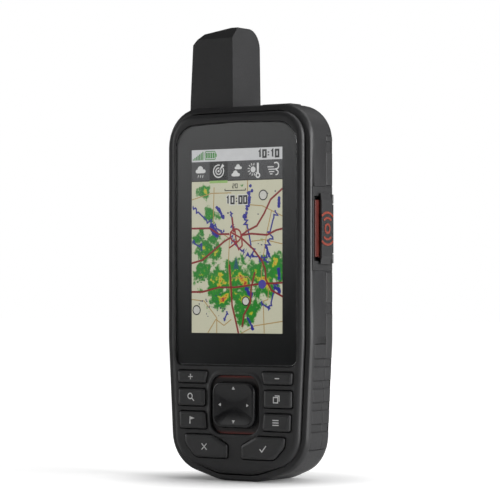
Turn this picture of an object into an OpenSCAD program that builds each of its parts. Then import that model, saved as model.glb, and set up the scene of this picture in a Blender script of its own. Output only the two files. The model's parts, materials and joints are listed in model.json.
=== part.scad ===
// Handheld satellite navigator: colour screen, keypad with rocker, stub antenna,
// guarded distress button, rubber side grips and a mounting rail down the back.
// Front faces -Y, top is +Z. The origin lies on the flat base, under the middle of the body.

/* [Body] */
// Width of the body across the side walls
body_w = 62; // [56:0.5:80]
// Height of the body without the antenna
body_h = 132.8; // [130:0.2:161]
// Width of the flat land the body stands on
base_land = 16; // [10:1:24]
// Radius of the lower corners
low_corner_r = 14; // [8:0.5:18]
// Radius of the upper corners
top_corner_r = 12.5; // [6:0.5:16]
// Height at which the sides begin to draw in towards the base
taper_z = 50; // [40:1:70]
// How far each side has drawn in at the base corner
taper_in = 2.27; // [0:0.01:4]
// Wall thickness of the rear housing
wall = 2.2; // [1.6:0.1:3]

/* [Depth] */
// Front face of the front housing, measured forward from the origin
face_y = 15.8; // [14:0.1:18]
// Seam between front and rear housing, measured forward from the origin
seam_y = 13.9; // [12:0.1:15]
// Back plane of the rear housing, measured back from the origin
back_y = 12; // [8:0.5:18]
// Where the straight side wall ends and the rear bevel starts
bevel_y = -0.2; // [-1:0.1:3]
// Inset of the sides at the back plane
back_inset = 10; // [6:0.5:14]

/* [Screen] */
// Visible picture width
screen_w = 39.2; // [30:0.1:50]
// Visible picture height
screen_h = 65.3; // [50:0.1:80]
// Distance from the top of the cover lens down to the picture centre
screen_drop = 42.05; // [41:0.05:44]
// Cover lens width
lens_w = 52.2; // [44:0.1:53]
// Gap from the zoom keys up to the cover lens
lens_key_gap = 2.15; // [1.6:0.05:4]
// Distance from the shoulder down to the top of the cover lens
lens_drop = 5.8; // [5:0.1:8]
// Upper corner radius of the cover lens
lens_r = 8.5; // [3:0.5:12]
// Cover lens thickness
lens_t = 1; // [0.6:0.1:1.5]
// Depth of the lens face below the housing face
lens_sink = 0.3; // [0.1:0.1:0.6]

/* [Keys] */
// Height the keys stand out of the housing face
key_proud = 1; // [0.4:0.1:1.6]
// Key travel
key_travel = 0.6; // [0.3:0.1:0.8]
// Gap between a key and its hole
key_gap = 0.25; // [0.15:0.05:0.4]
// Margin between the rocker recess and the outer key columns
key_margin = 2.3; // [1.9:0.1:2.8]
// Width of the keys in the outer columns
key_w = 11.6; // [9:0.1:12]
// Gap between one key row and the next
row_gap = 2.15; // [1.7:0.05:4]
// Bottom of the lowest function key row
key_row_z = 18.3; // [18:0.1:20]
// Pitch of the key rows
key_pitch = 8.15; // [6.8:0.05:9]
// Height of the zoom keys
zoom_h = 4.25; // [3:0.05:5]
// Width of the bottom keys
wide_w = 18.4; // [14:0.1:19]
// Inner edge of the bottom keys, from the centre line
wide_in = 3.05; // [2.8:0.05:5]
// Height of the bottom keys
wide_h = 8; // [6:0.1:8.2]
// Lower edge of the bottom keys
wide_z = 8.2; // [8:0.1:10]

/* [Rocker] */
// Height of the rocker centre above the bottom of the middle key row
rocker_rise = 0.6; // [0:0.05:1.4]
// Gap from each side of the rocker cap to the recess wall
rocker_side_gap = 1.45; // [1:0.05:2.4]
// Gap above and below the rocker cap
rocker_end_gap = 2.45; // [1:0.05:3.2]
// Side of the square recess round the rocker
recess_w = 20.8; // [18:0.1:21]
// Height the rocker rim stands out of the housing face
rocker_proud = 1.2; // [0.6:0.1:1.6]
// Depth of the dish in the rocker cap
dish = 0.7; // [0.2:0.1:1]

/* [Antenna] */
// Height of the antenna above the shoulder of the body
ant_rise = 29.7; // [20:0.1:56]
// Antenna width at the shoulder
ant_w = 19.3; // [15:0.1:20]
// Antenna centre line, measured to the left of the body centre
ant_x = 15.4; // [13:0.1:16]
// Antenna depth at the shoulder
ant_d = 19; // [14:0.1:19.2]
// Front face of the antenna, measured forward from the origin
ant_front = 8.6; // [6:0.1:8.7]
// Wall thickness of the antenna cover
ant_wall = 1.6; // [1:0.1:2.5]

/* [Distress button] */
// Centre height of the distress button panel
sos_z = 88.95; // [80:0.05:95]
// Panel height
sos_h = 29.3; // [26:0.1:34]
// Distress button travel
sos_travel = 0.7; // [0.4:0.1:0.7]
// Cover length
cover_h = 24.8; // [22:0.1:25]
// Height the cover stands out of the side wall
cover_proud = 1.4; // [1.2:0.1:2]
// Hinge pin diameter
pin_d = 0.7; // [0.5:0.05:0.8]
// Radial clearance of the hinge pins
pin_gap = 0.05; // [0.02:0.01:0.1]

/* [Side grips] */
// Top of the uppermost rib
rib_top = 48.3; // [40:0.1:56]
// Height of one rib
rib_h = 4.75; // [3:0.05:6]
// Pitch of the ribs
rib_pitch = 7.6; // [6:0.1:10]
// Number of ribs on each side
rib_count = 5; // [3:1:6]
// Depth of the gaps between the ribs
rib_deep = 0.7; // [0.3:0.1:0.7]
// Thickness of the rubber grips
grip_t = 0.9; // [0.8:0.1:1.1]
// Distance from the shoulder down to the upper end of the grip rails
rail_drop = 11.3; // [10.5:0.1:20]

/* [Power button] */
// Power button length
power_l = 12.3; // [8:0.1:14]
// Power button depth front to back
power_d = 6.6; // [4:0.1:7]
// Power button centre, from the centre line
power_x = 12.4; // [10:0.1:16]
// Height the power button stands out of the shoulder
power_proud = 0.5; // [0.4:0.1:1]
// Power button travel
power_travel = 0.4; // [0.2:0.1:0.4]

/* [Back] */
// Length of the mounting rail
spine_l = 68; // [50:1:76]
// Lower end of the mounting rail
spine_z = 30; // [29:1:34]
// Width across the rail head
spine_w = 19; // [14:0.5:24]
// Width of the rail neck
spine_neck = 13; // [9:0.5:18]
// Depth from the back plane to the rail face
spine_t = 6; // [4:0.5:9]
// Thickness of the rail head
spine_head = 3.6; // [2:0.1:5]
// Data port width
port_w = 8.94; // [8:0.02:10]
// Data port height
port_h = 3.16; // [2.6:0.02:4]
// Distance from the shoulder down to the data port
port_drop = 23; // [21.5:0.5:25]
// Torch lens diameter
torch_d = 6; // [4:0.5:7]
// Distance from the shoulder down to the torch
torch_drop = 12.5; // [12:0.5:14]
// Loudspeaker diameter
speaker_d = 18; // [12:0.5:18]
// Loudspeaker centre height
speaker_z = 20; // [18:0.5:22]

/* [Inside] */
// Battery pack width
cell_w = 32; // [24:0.5:33]
// Battery pack height
cell_h = 62; // [40:1:64]
// Battery pack depth
cell_d = 10; // [6:0.5:10]
// Case screw thread diameter
screw_d = 1.9; // [1.6:0.1:2]
// Case screw head diameter
head_d = 3.6; // [3:0.1:3.7]

/* [Hidden] */
arc_steps = 8;
$fn = 48;
thin = 0.02;
hair = 0.1;
fit = 0.15;
half_w = body_w / 2;
overall_h = body_h + ant_rise;
lens_top = body_h - lens_drop;
screen_z = lens_top - screen_drop;
port_z = body_h - port_drop;
torch_z = body_h - torch_drop;

// Depth planes, front to back. The front faces -Y, so forward distances count as minus.
y_face = -face_y;
y_seam = -seam_y;
y_edge = y_face + 0.6;
y_plate = y_face + 2.2;
y_lens = y_face + lens_sink;
y_lens_back = y_lens + lens_t;
mask_t = 0.14;
y_mask = y_lens_back + 0.02;
y_gasket = y_mask + mask_t + 0.03;
gasket_t = 0.15;
y_pocket = y_gasket + gasket_t + 0.01;
y_screen = y_lens_back + 0.3;
screen_t = 2;
y_bracket = y_screen + screen_t + 0.2;
bracket_t = 0.5;
y_key_top = y_face - key_proud;
flange_t = 0.6;
y_flange = y_plate + 0.3;
y_key_back = y_flange + flange_t;
y_mat = y_key_back + key_travel + 0.3;
mat_t = 0.5;
dome_t = 0.4;
y_board = y_mat + mat_t + 0.5 + dome_t;
board_t = 1.2;
y_board_back = y_board + board_t;
y_skirt = y_board_back + 0.2;
y_rim = y_seam + 1.3;
y_inner_back = back_y - 2;

// Inset of the front housing and of its skirt from the body outline
front_in = wall + 0.4;
skirt_in = wall + 0.5;
skirt_t = 1.2;
seal_in = wall + 0.05;
seal_t = 0.35;
mat_in = wall + 2.3;
board_in = wall + 2.4;

// Body outline: corners before rounding, anticlockwise from the base land
base_slope = 15.9;
side_lean = taper_in / (taper_z - 6);
corner_x = (half_w - side_lean * (taper_z + base_land / 2 * tan(base_slope)))
    / (1 - side_lean * tan(base_slope));
corner_z = (corner_x - base_land / 2) * tan(base_slope);
side_r = 60;
land_r = 6;
right_pts = [
    [base_land / 2, 0],
    [corner_x, corner_z],
    [half_w, taper_z],
    [half_w, body_h],
];
right_r = [land_r, low_corner_r, side_r, top_corner_r];

function unit(v) = v / norm(v);
function normal(a, b) = let (v = b - a) [v[1], -v[0]] / norm(v);
function flip(p) = [for (i = [len(p) - 1:-1:0]) [-p[i][0], p[i][1]]];
function back(v) = [for (i = [len(v) - 1:-1:0]) v[i]];

// Moves every edge of an anticlockwise outline inwards by d
function inset(p, d) = let (n = len(p)) [
    for (i = [0:n - 1])
        let (n1 = normal(p[(i + n - 1) % n], p[i]), n2 = normal(p[i], p[(i + 1) % n]))
        p[i] - d * (n1 + n2) / (1 + n1 * n2)
];

// Rounds one corner b between a and c
function corner(a, b, c, r) = r < 0.05 ? [b] : let (
    u = unit(a - b),
    v = unit(c - b),
    h = acos(u * v) / 2,
    o = b + unit(u + v) * r / sin(h),
    e0 = b + u * r / tan(h) - o,
    e1 = b + v * r / tan(h) - o,
    s = atan2(e0[1], e0[0]),
    w = atan2(e1[1], e1[0]) - s,
    turn = w > 180 ? w - 360 : w < -180 ? w + 360 : w
) [for (k = [0:arc_steps]) o + r * [cos(s + turn * k / arc_steps), sin(s + turn * k / arc_steps)]];

// Rounds a whole outline; r is one radius for each corner
function rounded(p, r) = let (n = len(p)) [
    for (i = [0:n - 1]) each corner(p[(i + n - 1) % n], p[i], p[(i + 1) % n], r[i])
];

function rect(w, h, x = 0, z = 0) = [
    [x - w / 2, z - h / 2], [x + w / 2, z - h / 2], [x + w / 2, z + h / 2], [x - w / 2, z + h / 2]
];
function same(r, n = 4) = [for (i = [1:n]) r];
function round_rect(w, h, r, x = 0, z = 0) = rounded(rect(w, h, x, z), same(r));

// Body outline drawn in evenly by d
function outline(d) = rounded(
    inset(concat(right_pts, flip(right_pts)), d),
    [for (r = concat(right_r, back(right_r))) max(r - d, 0.6)]
);

// Body outline drawn in by different amounts at the sides, base and top
function section(side, low, top) = let (
    p = [
        [base_land / 2, low],
        [corner_x - side, corner_z + low],
        [half_w - side, taper_z],
        [half_w - side, body_h - top],
    ],
    ease = 0.35
) rounded(
    concat(p, flip(p)),
    [for (r = concat(right_r, back(right_r))) r == side_r ? r : max(r - ease * side, 2)]
);

// Cover lens outline
lens_low_r = 3;
lens_rise = 0.8;
function lens_pts(d) = let (
    p = [
        [lens_w / 2, lens_low],
        [lens_w / 2, lens_top - lens_rise],
        [0, lens_top],
        [-lens_w / 2, lens_top - lens_rise],
        [-lens_w / 2, lens_low],
    ]
) rounded(inset(p, d), [for (r = [lens_low_r, lens_r, 40, lens_r, lens_low_r]) max(r - d, 0.4)]);

// Key outlines on the right-hand side, drawn in by d (negative grows them)
zoom_z = key_row_z + 2 * key_pitch;
lens_low = zoom_z + zoom_h + lens_key_gap;
key_in = recess_w / 2 + key_margin;
key_out = key_in + key_w;
key_h = key_pitch - row_gap;
zoom_slant = 1.1;
key_r = 0.8;
function zoom_pts(d) = rounded(inset([
    [key_in - 0.1, zoom_z],
    [key_out, zoom_z],
    [key_out + 0.35, zoom_z + zoom_h],
    [key_in - 0.1 - zoom_slant, zoom_z + zoom_h],
], d), same(key_r));
function row_pts(row, d) = let (z = key_row_z + row * key_pitch, lean = 0.7 * (1 - row)) rounded(inset([
    [key_in - lean, z],
    [key_out - 0.7 * (1 - row), z],
    [key_out - 0.4 * (1 - row), z + key_h],
    [key_in, z + key_h],
], d), same(key_r));
wide_sweep = 4.6;
wide_cut = 3.4;
wide_mid = 6.4;
function wide_pts(d) = let (x1 = wide_in + wide_w) rounded(inset([
    [wide_in, wide_z],
    [x1 - wide_sweep, wide_z],
    [x1 - 0.3, wide_z + wide_sweep],
    [x1, wide_z + wide_h],
    [wide_in + wide_mid, wide_z + wide_h],
    [wide_in, wide_z + wide_h - wide_cut],
], d), [key_r, 4, 3, key_r, 2, key_r]);

// Rocker outlines: a square with eased corners
recess_r = 4.6;
rocker_z = key_row_z + key_pitch + rocker_rise;
rocker_w = recess_w - 2 * rocker_side_gap;
rocker_h = recess_w - 2 * rocker_end_gap;
function rocker_pts(w, h, r) = round_rect(w, h, r, 0, rocker_z);

// Fixing positions
top_screw_x = 16.5;
top_screw_z = body_h - 10.2;
mid_screw_x = 19.5;
mid_screw_z = lens_low + 3;
case_screws_at = [
    [-top_screw_x, top_screw_z],
    [top_screw_x, top_screw_z],
    [-mid_screw_x, mid_screw_z],
    [mid_screw_x, mid_screw_z],
    [0, 5.2],
];
pillar_d = 5.6;
boss_d = 4.4;
y_head = -1;
head_t = 1.4;
spine_screw_at = [spine_z + 14, spine_z + 56];
spine_screw_d = 2.4;
spine_boss_d = 5;

// Upper end of the grip rails
rail_top = body_h - rail_drop;

// Distress button panel
side_x = half_w;
sos_low = sos_z - sos_h / 2;
sos_top = sos_z + sos_h / 2;
panel_t = 1.4;
panel_y0 = -13;
panel_y1 = -0.4;
hinge_x = side_x + 0.75;
hinge_y = -2;
hinge_r = 0.65;
lug_l = 3.2;
lug_in = 2.6;
cover_t = 0.9;
cover_y0 = -9.3;
cover_y1 = hinge_y - 0.95;
cover_x = side_x + cover_proud;
head_z = 19.9;
button_y0 = -11.6;
button_y1 = -3.3;
window_y1 = hinge_y - hinge_r - 0.25;
stem_y0 = -7.8;
stem_y1 = -4.2;
stem_h = 10;
stem_in = 3.4;

// Data port cap
cap_w = 13;
cap_h = 7.4;
cap_t = 1.2;
cap_y = back_y + 0.1;
cap_hinge_x = cap_w / 2 + 0.9;
cap_hinge_y = cap_y + 0.9;
cap_barrel_r = 0.8;

black_plastic = [0.1, 0.1, 0.11];
black_rubber = [0.06, 0.06, 0.065];
red_plastic = [0.45, 0.08, 0.05];
steel = [0.7, 0.71, 0.72];
board_green = [0.05, 0.25, 0.15];
gold = [0.75, 0.6, 0.3];

// ---- helpers ----

// Upright plate of outline p between two depths
module plate(p, y0, y1) {
    translate([0, y1, 0]) rotate([90, 0, 0]) linear_extrude(y1 - y0) polygon(p);
}

// Block between two corners
module block(a, b) {
    translate(a) cube(b - a);
}

// Round bar along Y
module rod_y(d, x, z, y0, y1) {
    translate([x, y0, z]) rotate([-90, 0, 0]) cylinder(h = y1 - y0, d = d);
}

// Profile in the Y-Z plane, drawn from x0 to x1
module across(p, x0, x1) {
    translate([x0, 0, 0]) rotate([90, 0, 90]) linear_extrude(x1 - x0) polygon(p);
}

// Strip of the side wall between two insets, on one side of the body
module side_strip(d0, d1, y0, y1, z0, z1, sx) {
    intersection() {
        difference() {
            plate(outline(d0), y0, y1);
            plate(outline(d1), y0 - 1, y1 + 1);
        }
        block([min(sx * 20, sx * 40), y0, z0], [max(sx * 20, sx * 40), y1, z1]);
    }
}

// Key with a bevelled top step and a retaining flange behind the plate
module key_on(p0, p1, p2) {
    plate(p1, y_key_top, y_key_top + 0.35);
    plate(p0, y_key_top + 0.3, y_flange + 0.1);
    plate(p2, y_flange, y_key_back);
}

key_flange = -0.7;
key_step = 0.3;
module zoom_key() {
    key_on(zoom_pts(0), zoom_pts(key_step), zoom_pts(key_flange));
}
module row_key(row) {
    key_on(row_pts(row, 0), row_pts(row, key_step), row_pts(row, key_flange));
}
module wide_key() {
    key_on(wide_pts(0), wide_pts(key_step), wide_pts(key_flange));
}
module to_left() {
    mirror([1, 0, 0]) children();
}

// ---- front ----

module key_holes() {
    y0 = y_face - 1;
    y1 = y_plate + 1;
    plate(zoom_pts(-key_gap), y0, y1);
    plate(row_pts(1, -key_gap), y0, y1);
    plate(row_pts(0, -key_gap), y0, y1);
    plate(wide_pts(-key_gap), y0, y1);
}

// The rocker sits in a square recess; its stem and pins pass through the recess floor
y_recess = y_face + 1.3;
press_d = 1.6;
pin_r = rocker_h / 2 - 1.15;
carrier_d = 2 * pin_r - press_d - 3;
module rocker_holes() {
    plate(rocker_pts(recess_w, recess_w, recess_r), y_face - 1, y_recess);
    rod_y(carrier_d + 1.2, 0, rocker_z, y_recess - 1, y_plate + 1);
    for (a = [0:90:270])
        rod_y(press_d + 1, pin_r * cos(a), rocker_z + pin_r * sin(a), y_recess - 1, y_plate + 1);
}

module front_housing() {
    color(black_plastic) difference() {
        union() {
            hull() {
                plate(outline(front_in + 0.5), y_face, y_face + thin);
                plate(outline(front_in), y_edge, y_plate);
            }
            difference() {
                plate(outline(skirt_in), y_plate - 0.5, y_skirt);
                plate(outline(skirt_in + skirt_t), y_plate - 1, y_skirt + 1);
            }
            difference() {
                plate(rocker_pts(recess_w + 1.8, recess_w + 1.8, recess_r + 0.9), y_face - 0.3, y_edge);
                plate(rocker_pts(recess_w, recess_w, recess_r), y_face - 1, y_edge + 1);
            }
            for (p = case_screws_at) rod_y(boss_d, p[0], p[1], y_plate - 0.2, y_skirt + 0.3);
        }
        plate(lens_pts(-fit), y_face - 1, y_pocket);
        plate(rect(lcd_w + 0.6, lcd_h + 0.6, 0, lcd_z), y_pocket - 1, y_plate + 1);
        key_holes();
        to_left() key_holes();
        rocker_holes();
        for (p = case_screws_at) rod_y(screw_d + 0.1, p[0], p[1], y_plate + 0.8, y_skirt + 1);
    }
}

module display_lens() {
    color([0.02, 0.02, 0.025, 0.5]) plate(lens_pts(0), y_lens, y_lens_back);
}

module lens_mask() {
    color([0.01, 0.01, 0.012]) difference() {
        plate(lens_pts(0.3), y_mask, y_mask + mask_t);
        plate(rect(screen_w, screen_h, 0, screen_z), y_mask - 1, y_mask + 1);
    }
}

lcd_w = 42;
lcd_h = 70;
lcd_z = screen_z - 0.35;
module lens_gasket() {
    color(black_rubber) difference() {
        plate(lens_pts(0.2), y_gasket, y_gasket + gasket_t);
        plate(round_rect(lcd_w + 1.6, lcd_h + 1.6, 1, 0, lcd_z), y_gasket - 1, y_gasket + 1);
    }
}

module lcd_module() {
    glass_t = 1.3;
    color([0.2, 0.3, 0.35]) {
        plate(rect(lcd_w, lcd_h, 0, lcd_z), y_screen, y_screen + glass_t);
        plate(rect(lcd_w - 1.4, lcd_h - 1.4, 0, lcd_z), y_screen + glass_t - 0.1, y_screen + screen_t);
    }
}

module lcd_bracket() {
    color(steel) difference() {
        plate(rect(lcd_w + 2, lcd_h + 0.8, 0, lcd_z + 0.1), y_bracket, y_bracket + bracket_t);
        plate(rect(lcd_w - 14, lcd_h - 8, 0, lcd_z), y_bracket - 1, y_bracket + 1);
    }
}

// Ribbon from the back of the screen to the board
module lcd_flex() {
    t = 0.12;
    y0 = y_screen + screen_t + 0.01;
    y1 = y_board - t - 0.02;
    z = lcd_z;
    color(gold) across([
        [y0, z - 22], [y0 + t, z - 22], [y0 + t, z - 26], [y1 + t, z - 30], [y1 + t, z - 33],
        [y1, z - 33], [y1, z - 30], [y0, z - 26],
    ], -8, 8);
}

module keypad_mat() {
    color(black_rubber) intersection() {
        plate(outline(mat_in), y_mat, y_mat + mat_t);
        plate(rect(body_w, zoom_z + zoom_h - wide_z + 2, 0, (zoom_z + zoom_h + wide_z) / 2 + 0.7),
            y_mat - 1, y_mat + 1);
    }
}

module key_zoom_in() color(black_rubber) to_left() zoom_key();
module key_zoom_out() color(black_rubber) zoom_key();
module key_find() color(black_rubber) to_left() row_key(1);
module key_page() color(black_rubber) row_key(1);
module key_mark() color(black_rubber) to_left() row_key(0);
module key_menu() color(black_rubber) row_key(0);
module key_quit() color(black_rubber) to_left() wide_key();
module key_enter() color(black_rubber) wide_key();

// Accent strips on the recess floor, above and below the cap
module rocker_ring() {
    ring_t = 0.4;
    ring_wrap = 2.6;
    color(red_plastic) difference() {
        plate(rocker_pts(recess_w - 0.3, recess_w - 0.3, recess_r), y_recess - ring_t, y_recess);
        plate(rocker_pts(rocker_w + 0.5, rocker_h + 0.5, recess_r - 0.6), y_recess - 1, y_recess + 1);
        plate(rect(recess_w, rocker_h - 2 * ring_wrap, 0, rocker_z), y_recess - 1, y_recess + 1);
    }
}

// Inner ring of the rocker's cross pivot: stub axles to the sides, bores for the cap's axles
stem_d = 4;
axle_d = 0.6;
carrier_t = 1;
y_pivot = y_face + 1.9;
module rocker_carrier() {
    color(steel) {
        difference() {
            rod_y(carrier_d, 0, rocker_z, y_pivot - carrier_t / 2, y_pivot + carrier_t / 2);
            rod_y(stem_d + 0.6, 0, rocker_z, y_pivot - 1, y_pivot + 1);
            translate([0, y_pivot, rocker_z - carrier_d]) cylinder(h = 2 * carrier_d, d = axle_d + 0.1, $fn = 24);
        }
        for (s = [0, 180]) translate([0, y_pivot, rocker_z]) rotate([0, 90 + s, 0])
            translate([0, 0, carrier_d / 2 - 0.2]) cylinder(h = 0.6, d = axle_d, $fn = 24);
    }
}

module rocker_cap() {
    y_rim_top = y_face - rocker_proud;
    y_under = y_face + 0.3;
    dish_r = rocker_h / 2 - 1;
    ball_r = (dish_r * dish_r + dish * dish) / (2 * dish);
    color(black_plastic) {
        difference() {
            union() {
                plate(rocker_pts(rocker_w - 0.8, rocker_h - 0.8, recess_r - 1.4), y_rim_top, y_under);
                plate(rocker_pts(rocker_w, rocker_h, recess_r - 1), y_rim_top + 0.4, y_under);
            }
            translate([0, y_rim_top + dish - ball_r, rocker_z]) sphere(r = ball_r, $fn = 96);
        }
        rod_y(stem_d, 0, rocker_z, y_under - 0.1, y_pivot + 1);
        translate([0, y_pivot, rocker_z - carrier_d / 2 + 0.5])
            cylinder(h = carrier_d - 1, d = axle_d, $fn = 24);
        for (a = [0:90:270])
            rod_y(press_d, pin_r * cos(a), rocker_z + pin_r * sin(a), y_under - 0.1, y_plate + 0.8);
    }
}

// ---- boards and electronics ----

// Centres of the key domes on the right-hand side
key_mid = (key_in + key_out) / 2;
dome_at = [
    [key_mid, zoom_z + zoom_h / 2],
    [key_mid, key_row_z + key_pitch + key_h / 2],
    [key_mid, key_row_z + key_h / 2],
    [wide_in + wide_w / 2, wide_z + wide_h / 2],
];
module dome(x, z) {
    translate([x, y_board, z]) rotate([90, 0, 0]) cylinder(h = dome_t, d1 = 4.2, d2 = 3, $fn = 24);
}

module dome_switches() {
    color(steel) {
        for (p = dome_at) for (s = [-1, 1]) dome(s * p[0], p[1]);
        for (a = [0:90:270]) dome(pin_r * cos(a), rocker_z + pin_r * sin(a));
        dome(0, rocker_z);
    }
}

module main_board() {
    color(board_green) difference() {
        plate(outline(board_in), y_board, y_board_back);
        for (p = case_screws_at) rod_y(boss_d + 0.8, p[0], p[1], y_board - 1, y_board_back + 1);
    }
}

module shield_can(x0, z0, w, h) {
    can_t = 2.3;
    skin = 0.2;
    difference() {
        block([x0, y_board_back, z0], [x0 + w, y_board_back + can_t, z0 + h]);
        block([x0 + skin, y_board_back - 1, z0 + skin],
            [x0 + w - skin, y_board_back + can_t - skin, z0 + h - skin]);
    }
}
module shield_cans() {
    color(steel) {
        shield_can(-20, 72, 22, 26);
        shield_can(4, 60, 16, 22);
        shield_can(-12, 12, 24, 18);
    }
}

cell_y = -3.6;
cell_z = 37;
module battery_pack() {
    r = 4;
    color([0.15, 0.2, 0.35]) translate([0, 0, cell_z]) linear_extrude(cell_h)
        polygon(round_rect(cell_w, cell_d, r, 0, cell_y + cell_d / 2));
}

// Two wires from the pack to its socket on the board
module battery_lead() {
    wire_d = 1;
    wire_y = cell_y + 2;
    top_z = cell_z + cell_h;
    plug_z = top_z + 5;
    plug_d = 3.4;
    for (s = [-1, 1]) color(s < 0 ? [0.1, 0.1, 0.1] : [0.6, 0.05, 0.05]) translate([s, 0, 0]) {
        translate([0, wire_y, top_z + 0.05]) cylinder(h = plug_z - top_z - 0.05, d = wire_d, $fn = 16);
        translate([0, wire_y, plug_z]) sphere(d = wire_d, $fn = 16);
        translate([0, y_board_back + plug_d - 0.3, plug_z]) rotate([-90, 0, 0])
            cylinder(h = wire_y - y_board_back - plug_d + 0.3, d = wire_d, $fn = 16);
    }
    color([0.9, 0.88, 0.8]) block([-2.6, y_board_back, plug_z - 1.8], [2.6, y_board_back + plug_d, plug_z + 1.8]);
}

module speaker() {
    y1 = y_inner_back - 0.1;
    color([0.3, 0.3, 0.32]) {
        rod_y(speaker_d - 1.6, 0, speaker_z, y1 - 4.2, y1 - 1.2);
        difference() {
            rod_y(speaker_d, 0, speaker_z, y1 - 1.4, y1);
            rod_y(speaker_d - 2, 0, speaker_z, y1 - 0.6, y1 + 1);
        }
    }
}

module power_switch() {
    z1 = body_h - wall - 1.6 - power_travel - 0.3;
    color(steel) block([power_x - 2.6, y_board_back, z1 - 5.6], [power_x + 0.7, -2.6, z1]);
}

module sos_switch() {
    x1 = side_x - stem_in - sos_travel - 0.3;
    color(steel) block([x1 - 2.6, y_board_back, sos_z - 2.5], [x1, -4.6, sos_z + 2.5]);
}

// Small board behind the data port, which also carries the torch
rear_board_t = 1.2;
y_rear_board = 3.2;
module rear_board() {
    color(board_green) block([-7, y_rear_board, port_z - 5], [7, y_rear_board + rear_board_t, torch_z + 3.5]);
}

module torch_led() {
    color([0.95, 0.9, 0.6]) block([-1.5, y_rear_board + rear_board_t, torch_z - 1.5],
        [1.5, y_rear_board + rear_board_t + 1, torch_z + 1.5]);
}

module torch_lens() {
    color([0.85, 0.9, 0.95, 0.5]) {
        rod_y(torch_d, 0, torch_z, y_inner_back - 0.5, back_y + 0.2);
        rod_y(torch_d + 1.6, 0, torch_z, y_inner_back - 1.2, y_inner_back - 0.1);
    }
}

shell_wall = 0.3;
function port_pts(d) = let (r = (port_h - 2 * d) / 2 - 0.02)
    round_rect(port_w - 2 * d, port_h - 2 * d, r, 0, port_z);
module usb_connector() {
    y0 = y_rear_board + rear_board_t;
    y1 = back_y - 0.4;
    color(steel) difference() {
        plate(port_pts(0), y0, y1);
        plate(port_pts(shell_wall), y0 + 1.5, y1 + 1);
    }
    color([0.1, 0.1, 0.1]) block([-3.3, y0 + 1.4, port_z - 0.35], [3.3, y1 - 1.6, port_z + 0.35]);
}

// ---- antenna ----

ant_base_z = body_h - 7;
ant_x0 = -ant_x - ant_w / 2;
ant_x1 = -ant_x + ant_w / 2;
ant_y0 = -ant_front;
ant_y1 = -ant_front + ant_d;
ant_back_cut = 6;
ant_back_r = 2;
ant_lean_out = 1.7;
ant_lean_in = 0.6;
ant_lean_back = 1.4;
// Plan outline of the antenna drawn in by d
function ant_plan(d) = rounded(inset([
    [ant_x0, ant_y0], [ant_x1, ant_y0], [ant_x1, ant_y1],
    [ant_x0 + ant_back_cut, ant_y1], [ant_x0, ant_y1 - ant_back_cut],
], d), [0.8, 0.5, ant_back_r, 3, 3]);
ant_slope = 2.4;
ant_bevel = 3.6;
ant_dome_r = 7;
// The foot's lip reaches past the stub, and stops at the inside of the rounded shoulder
ant_lip = 1.2;
ant_lip_t = 1.2;
ant_lip_gap = 0.05;
shoulder_in = half_w - top_corner_r
    + sqrt(pow(top_corner_r - wall, 2) - pow(ant_base_z + ant_lip_t - body_h + top_corner_r, 2));
ant_lip_x = max(ant_x0 - ant_lip, ant_lip_gap - shoulder_in);
module antenna_cover() {
    z0 = ant_base_z;
    z1 = overall_h;
    front_drop = 4.4;
    crown = 4;
    color(black_plastic) {
        difference() {
            intersection() {
                translate([0, 0, z0]) linear_extrude(z1 - z0) polygon(ant_plan(0));
                plate(rounded([
                    [ant_x0, z0], [ant_x1, z0], [ant_x1 - ant_lean_in, z1],
                    [ant_x0 + ant_lean_out + ant_bevel, z1 - ant_slope],
                    [ant_x0 + ant_lean_out, z1 - ant_slope - ant_bevel],
                ], [0, 0, 0.8, 2, 2]), ant_y0 - 1, ant_y1 + 1);
                across(rounded([
                    [ant_y0, z0], [ant_y1, z0], [ant_y1 - ant_lean_back, z1 - 0.6],
                    [ant_y0 + crown, z1], [ant_y0 + 0.3, z1 - front_drop],
                ], [0, 0, ant_dome_r, 3, 1.2]), ant_x0 - 1, ant_x1 + 1);
            }
            translate([0, 0, z0 - 1]) linear_extrude(z1 - z0 - 7) polygon(ant_plan(ant_wall));
        }
        difference() {
            block([ant_lip_x, ant_y0, z0], [ant_x1 + ant_lip, bevel_y - 1.3, z0 + ant_lip_t]);
            translate([0, 0, z0 - 1]) linear_extrude(4) polygon(ant_plan(ant_wall));
        }
    }
}

helix_y = ant_y0 + ant_d / 2 - 0.2;
helix_d = 10;
helix_z0 = body_h - 1.4;
helix_h = overall_h - 10.4 - helix_z0;
module helix_antenna() {
    strip_t = 0.25;
    strip_w = 1.8;
    strip_gap = 0.02;
    color([0.85, 0.8, 0.7]) translate([-ant_x, helix_y, helix_z0]) cylinder(h = helix_h, d = helix_d);
    color(gold) translate([-ant_x, helix_y, helix_z0 + 1])
        for (a = [0:90:270]) rotate([0, 0, a])
            linear_extrude(helix_h - 2, twist = 180, slices = 16, $fn = 8)
                translate([helix_d / 2 + strip_gap, -strip_w / 2]) square([strip_t, strip_w]);
    color(board_green) translate([-ant_x, helix_y, helix_z0 - 1]) cylinder(h = 1, d = helix_d + 2);
}

module antenna_coax() {
    d = 1.4;
    x = -top_screw_x + pillar_d / 2 + d / 2 + 0.5;
    z_low = body_h - 16;
    color([0.15, 0.15, 0.15]) {
        translate([x, helix_y, z_low]) cylinder(h = helix_z0 - 1.05 - z_low, d = d, $fn = 16);
        translate([x, helix_y, z_low]) sphere(d = d, $fn = 16);
        translate([x, y_board_back + 1, z_low]) rotate([-90, 0, 0])
            cylinder(h = helix_y - y_board_back - 1, d = d, $fn = 16);
    }
    color(gold) rod_y(2.2, x, z_low, y_board_back, y_board_back + 1.2);
}

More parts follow.
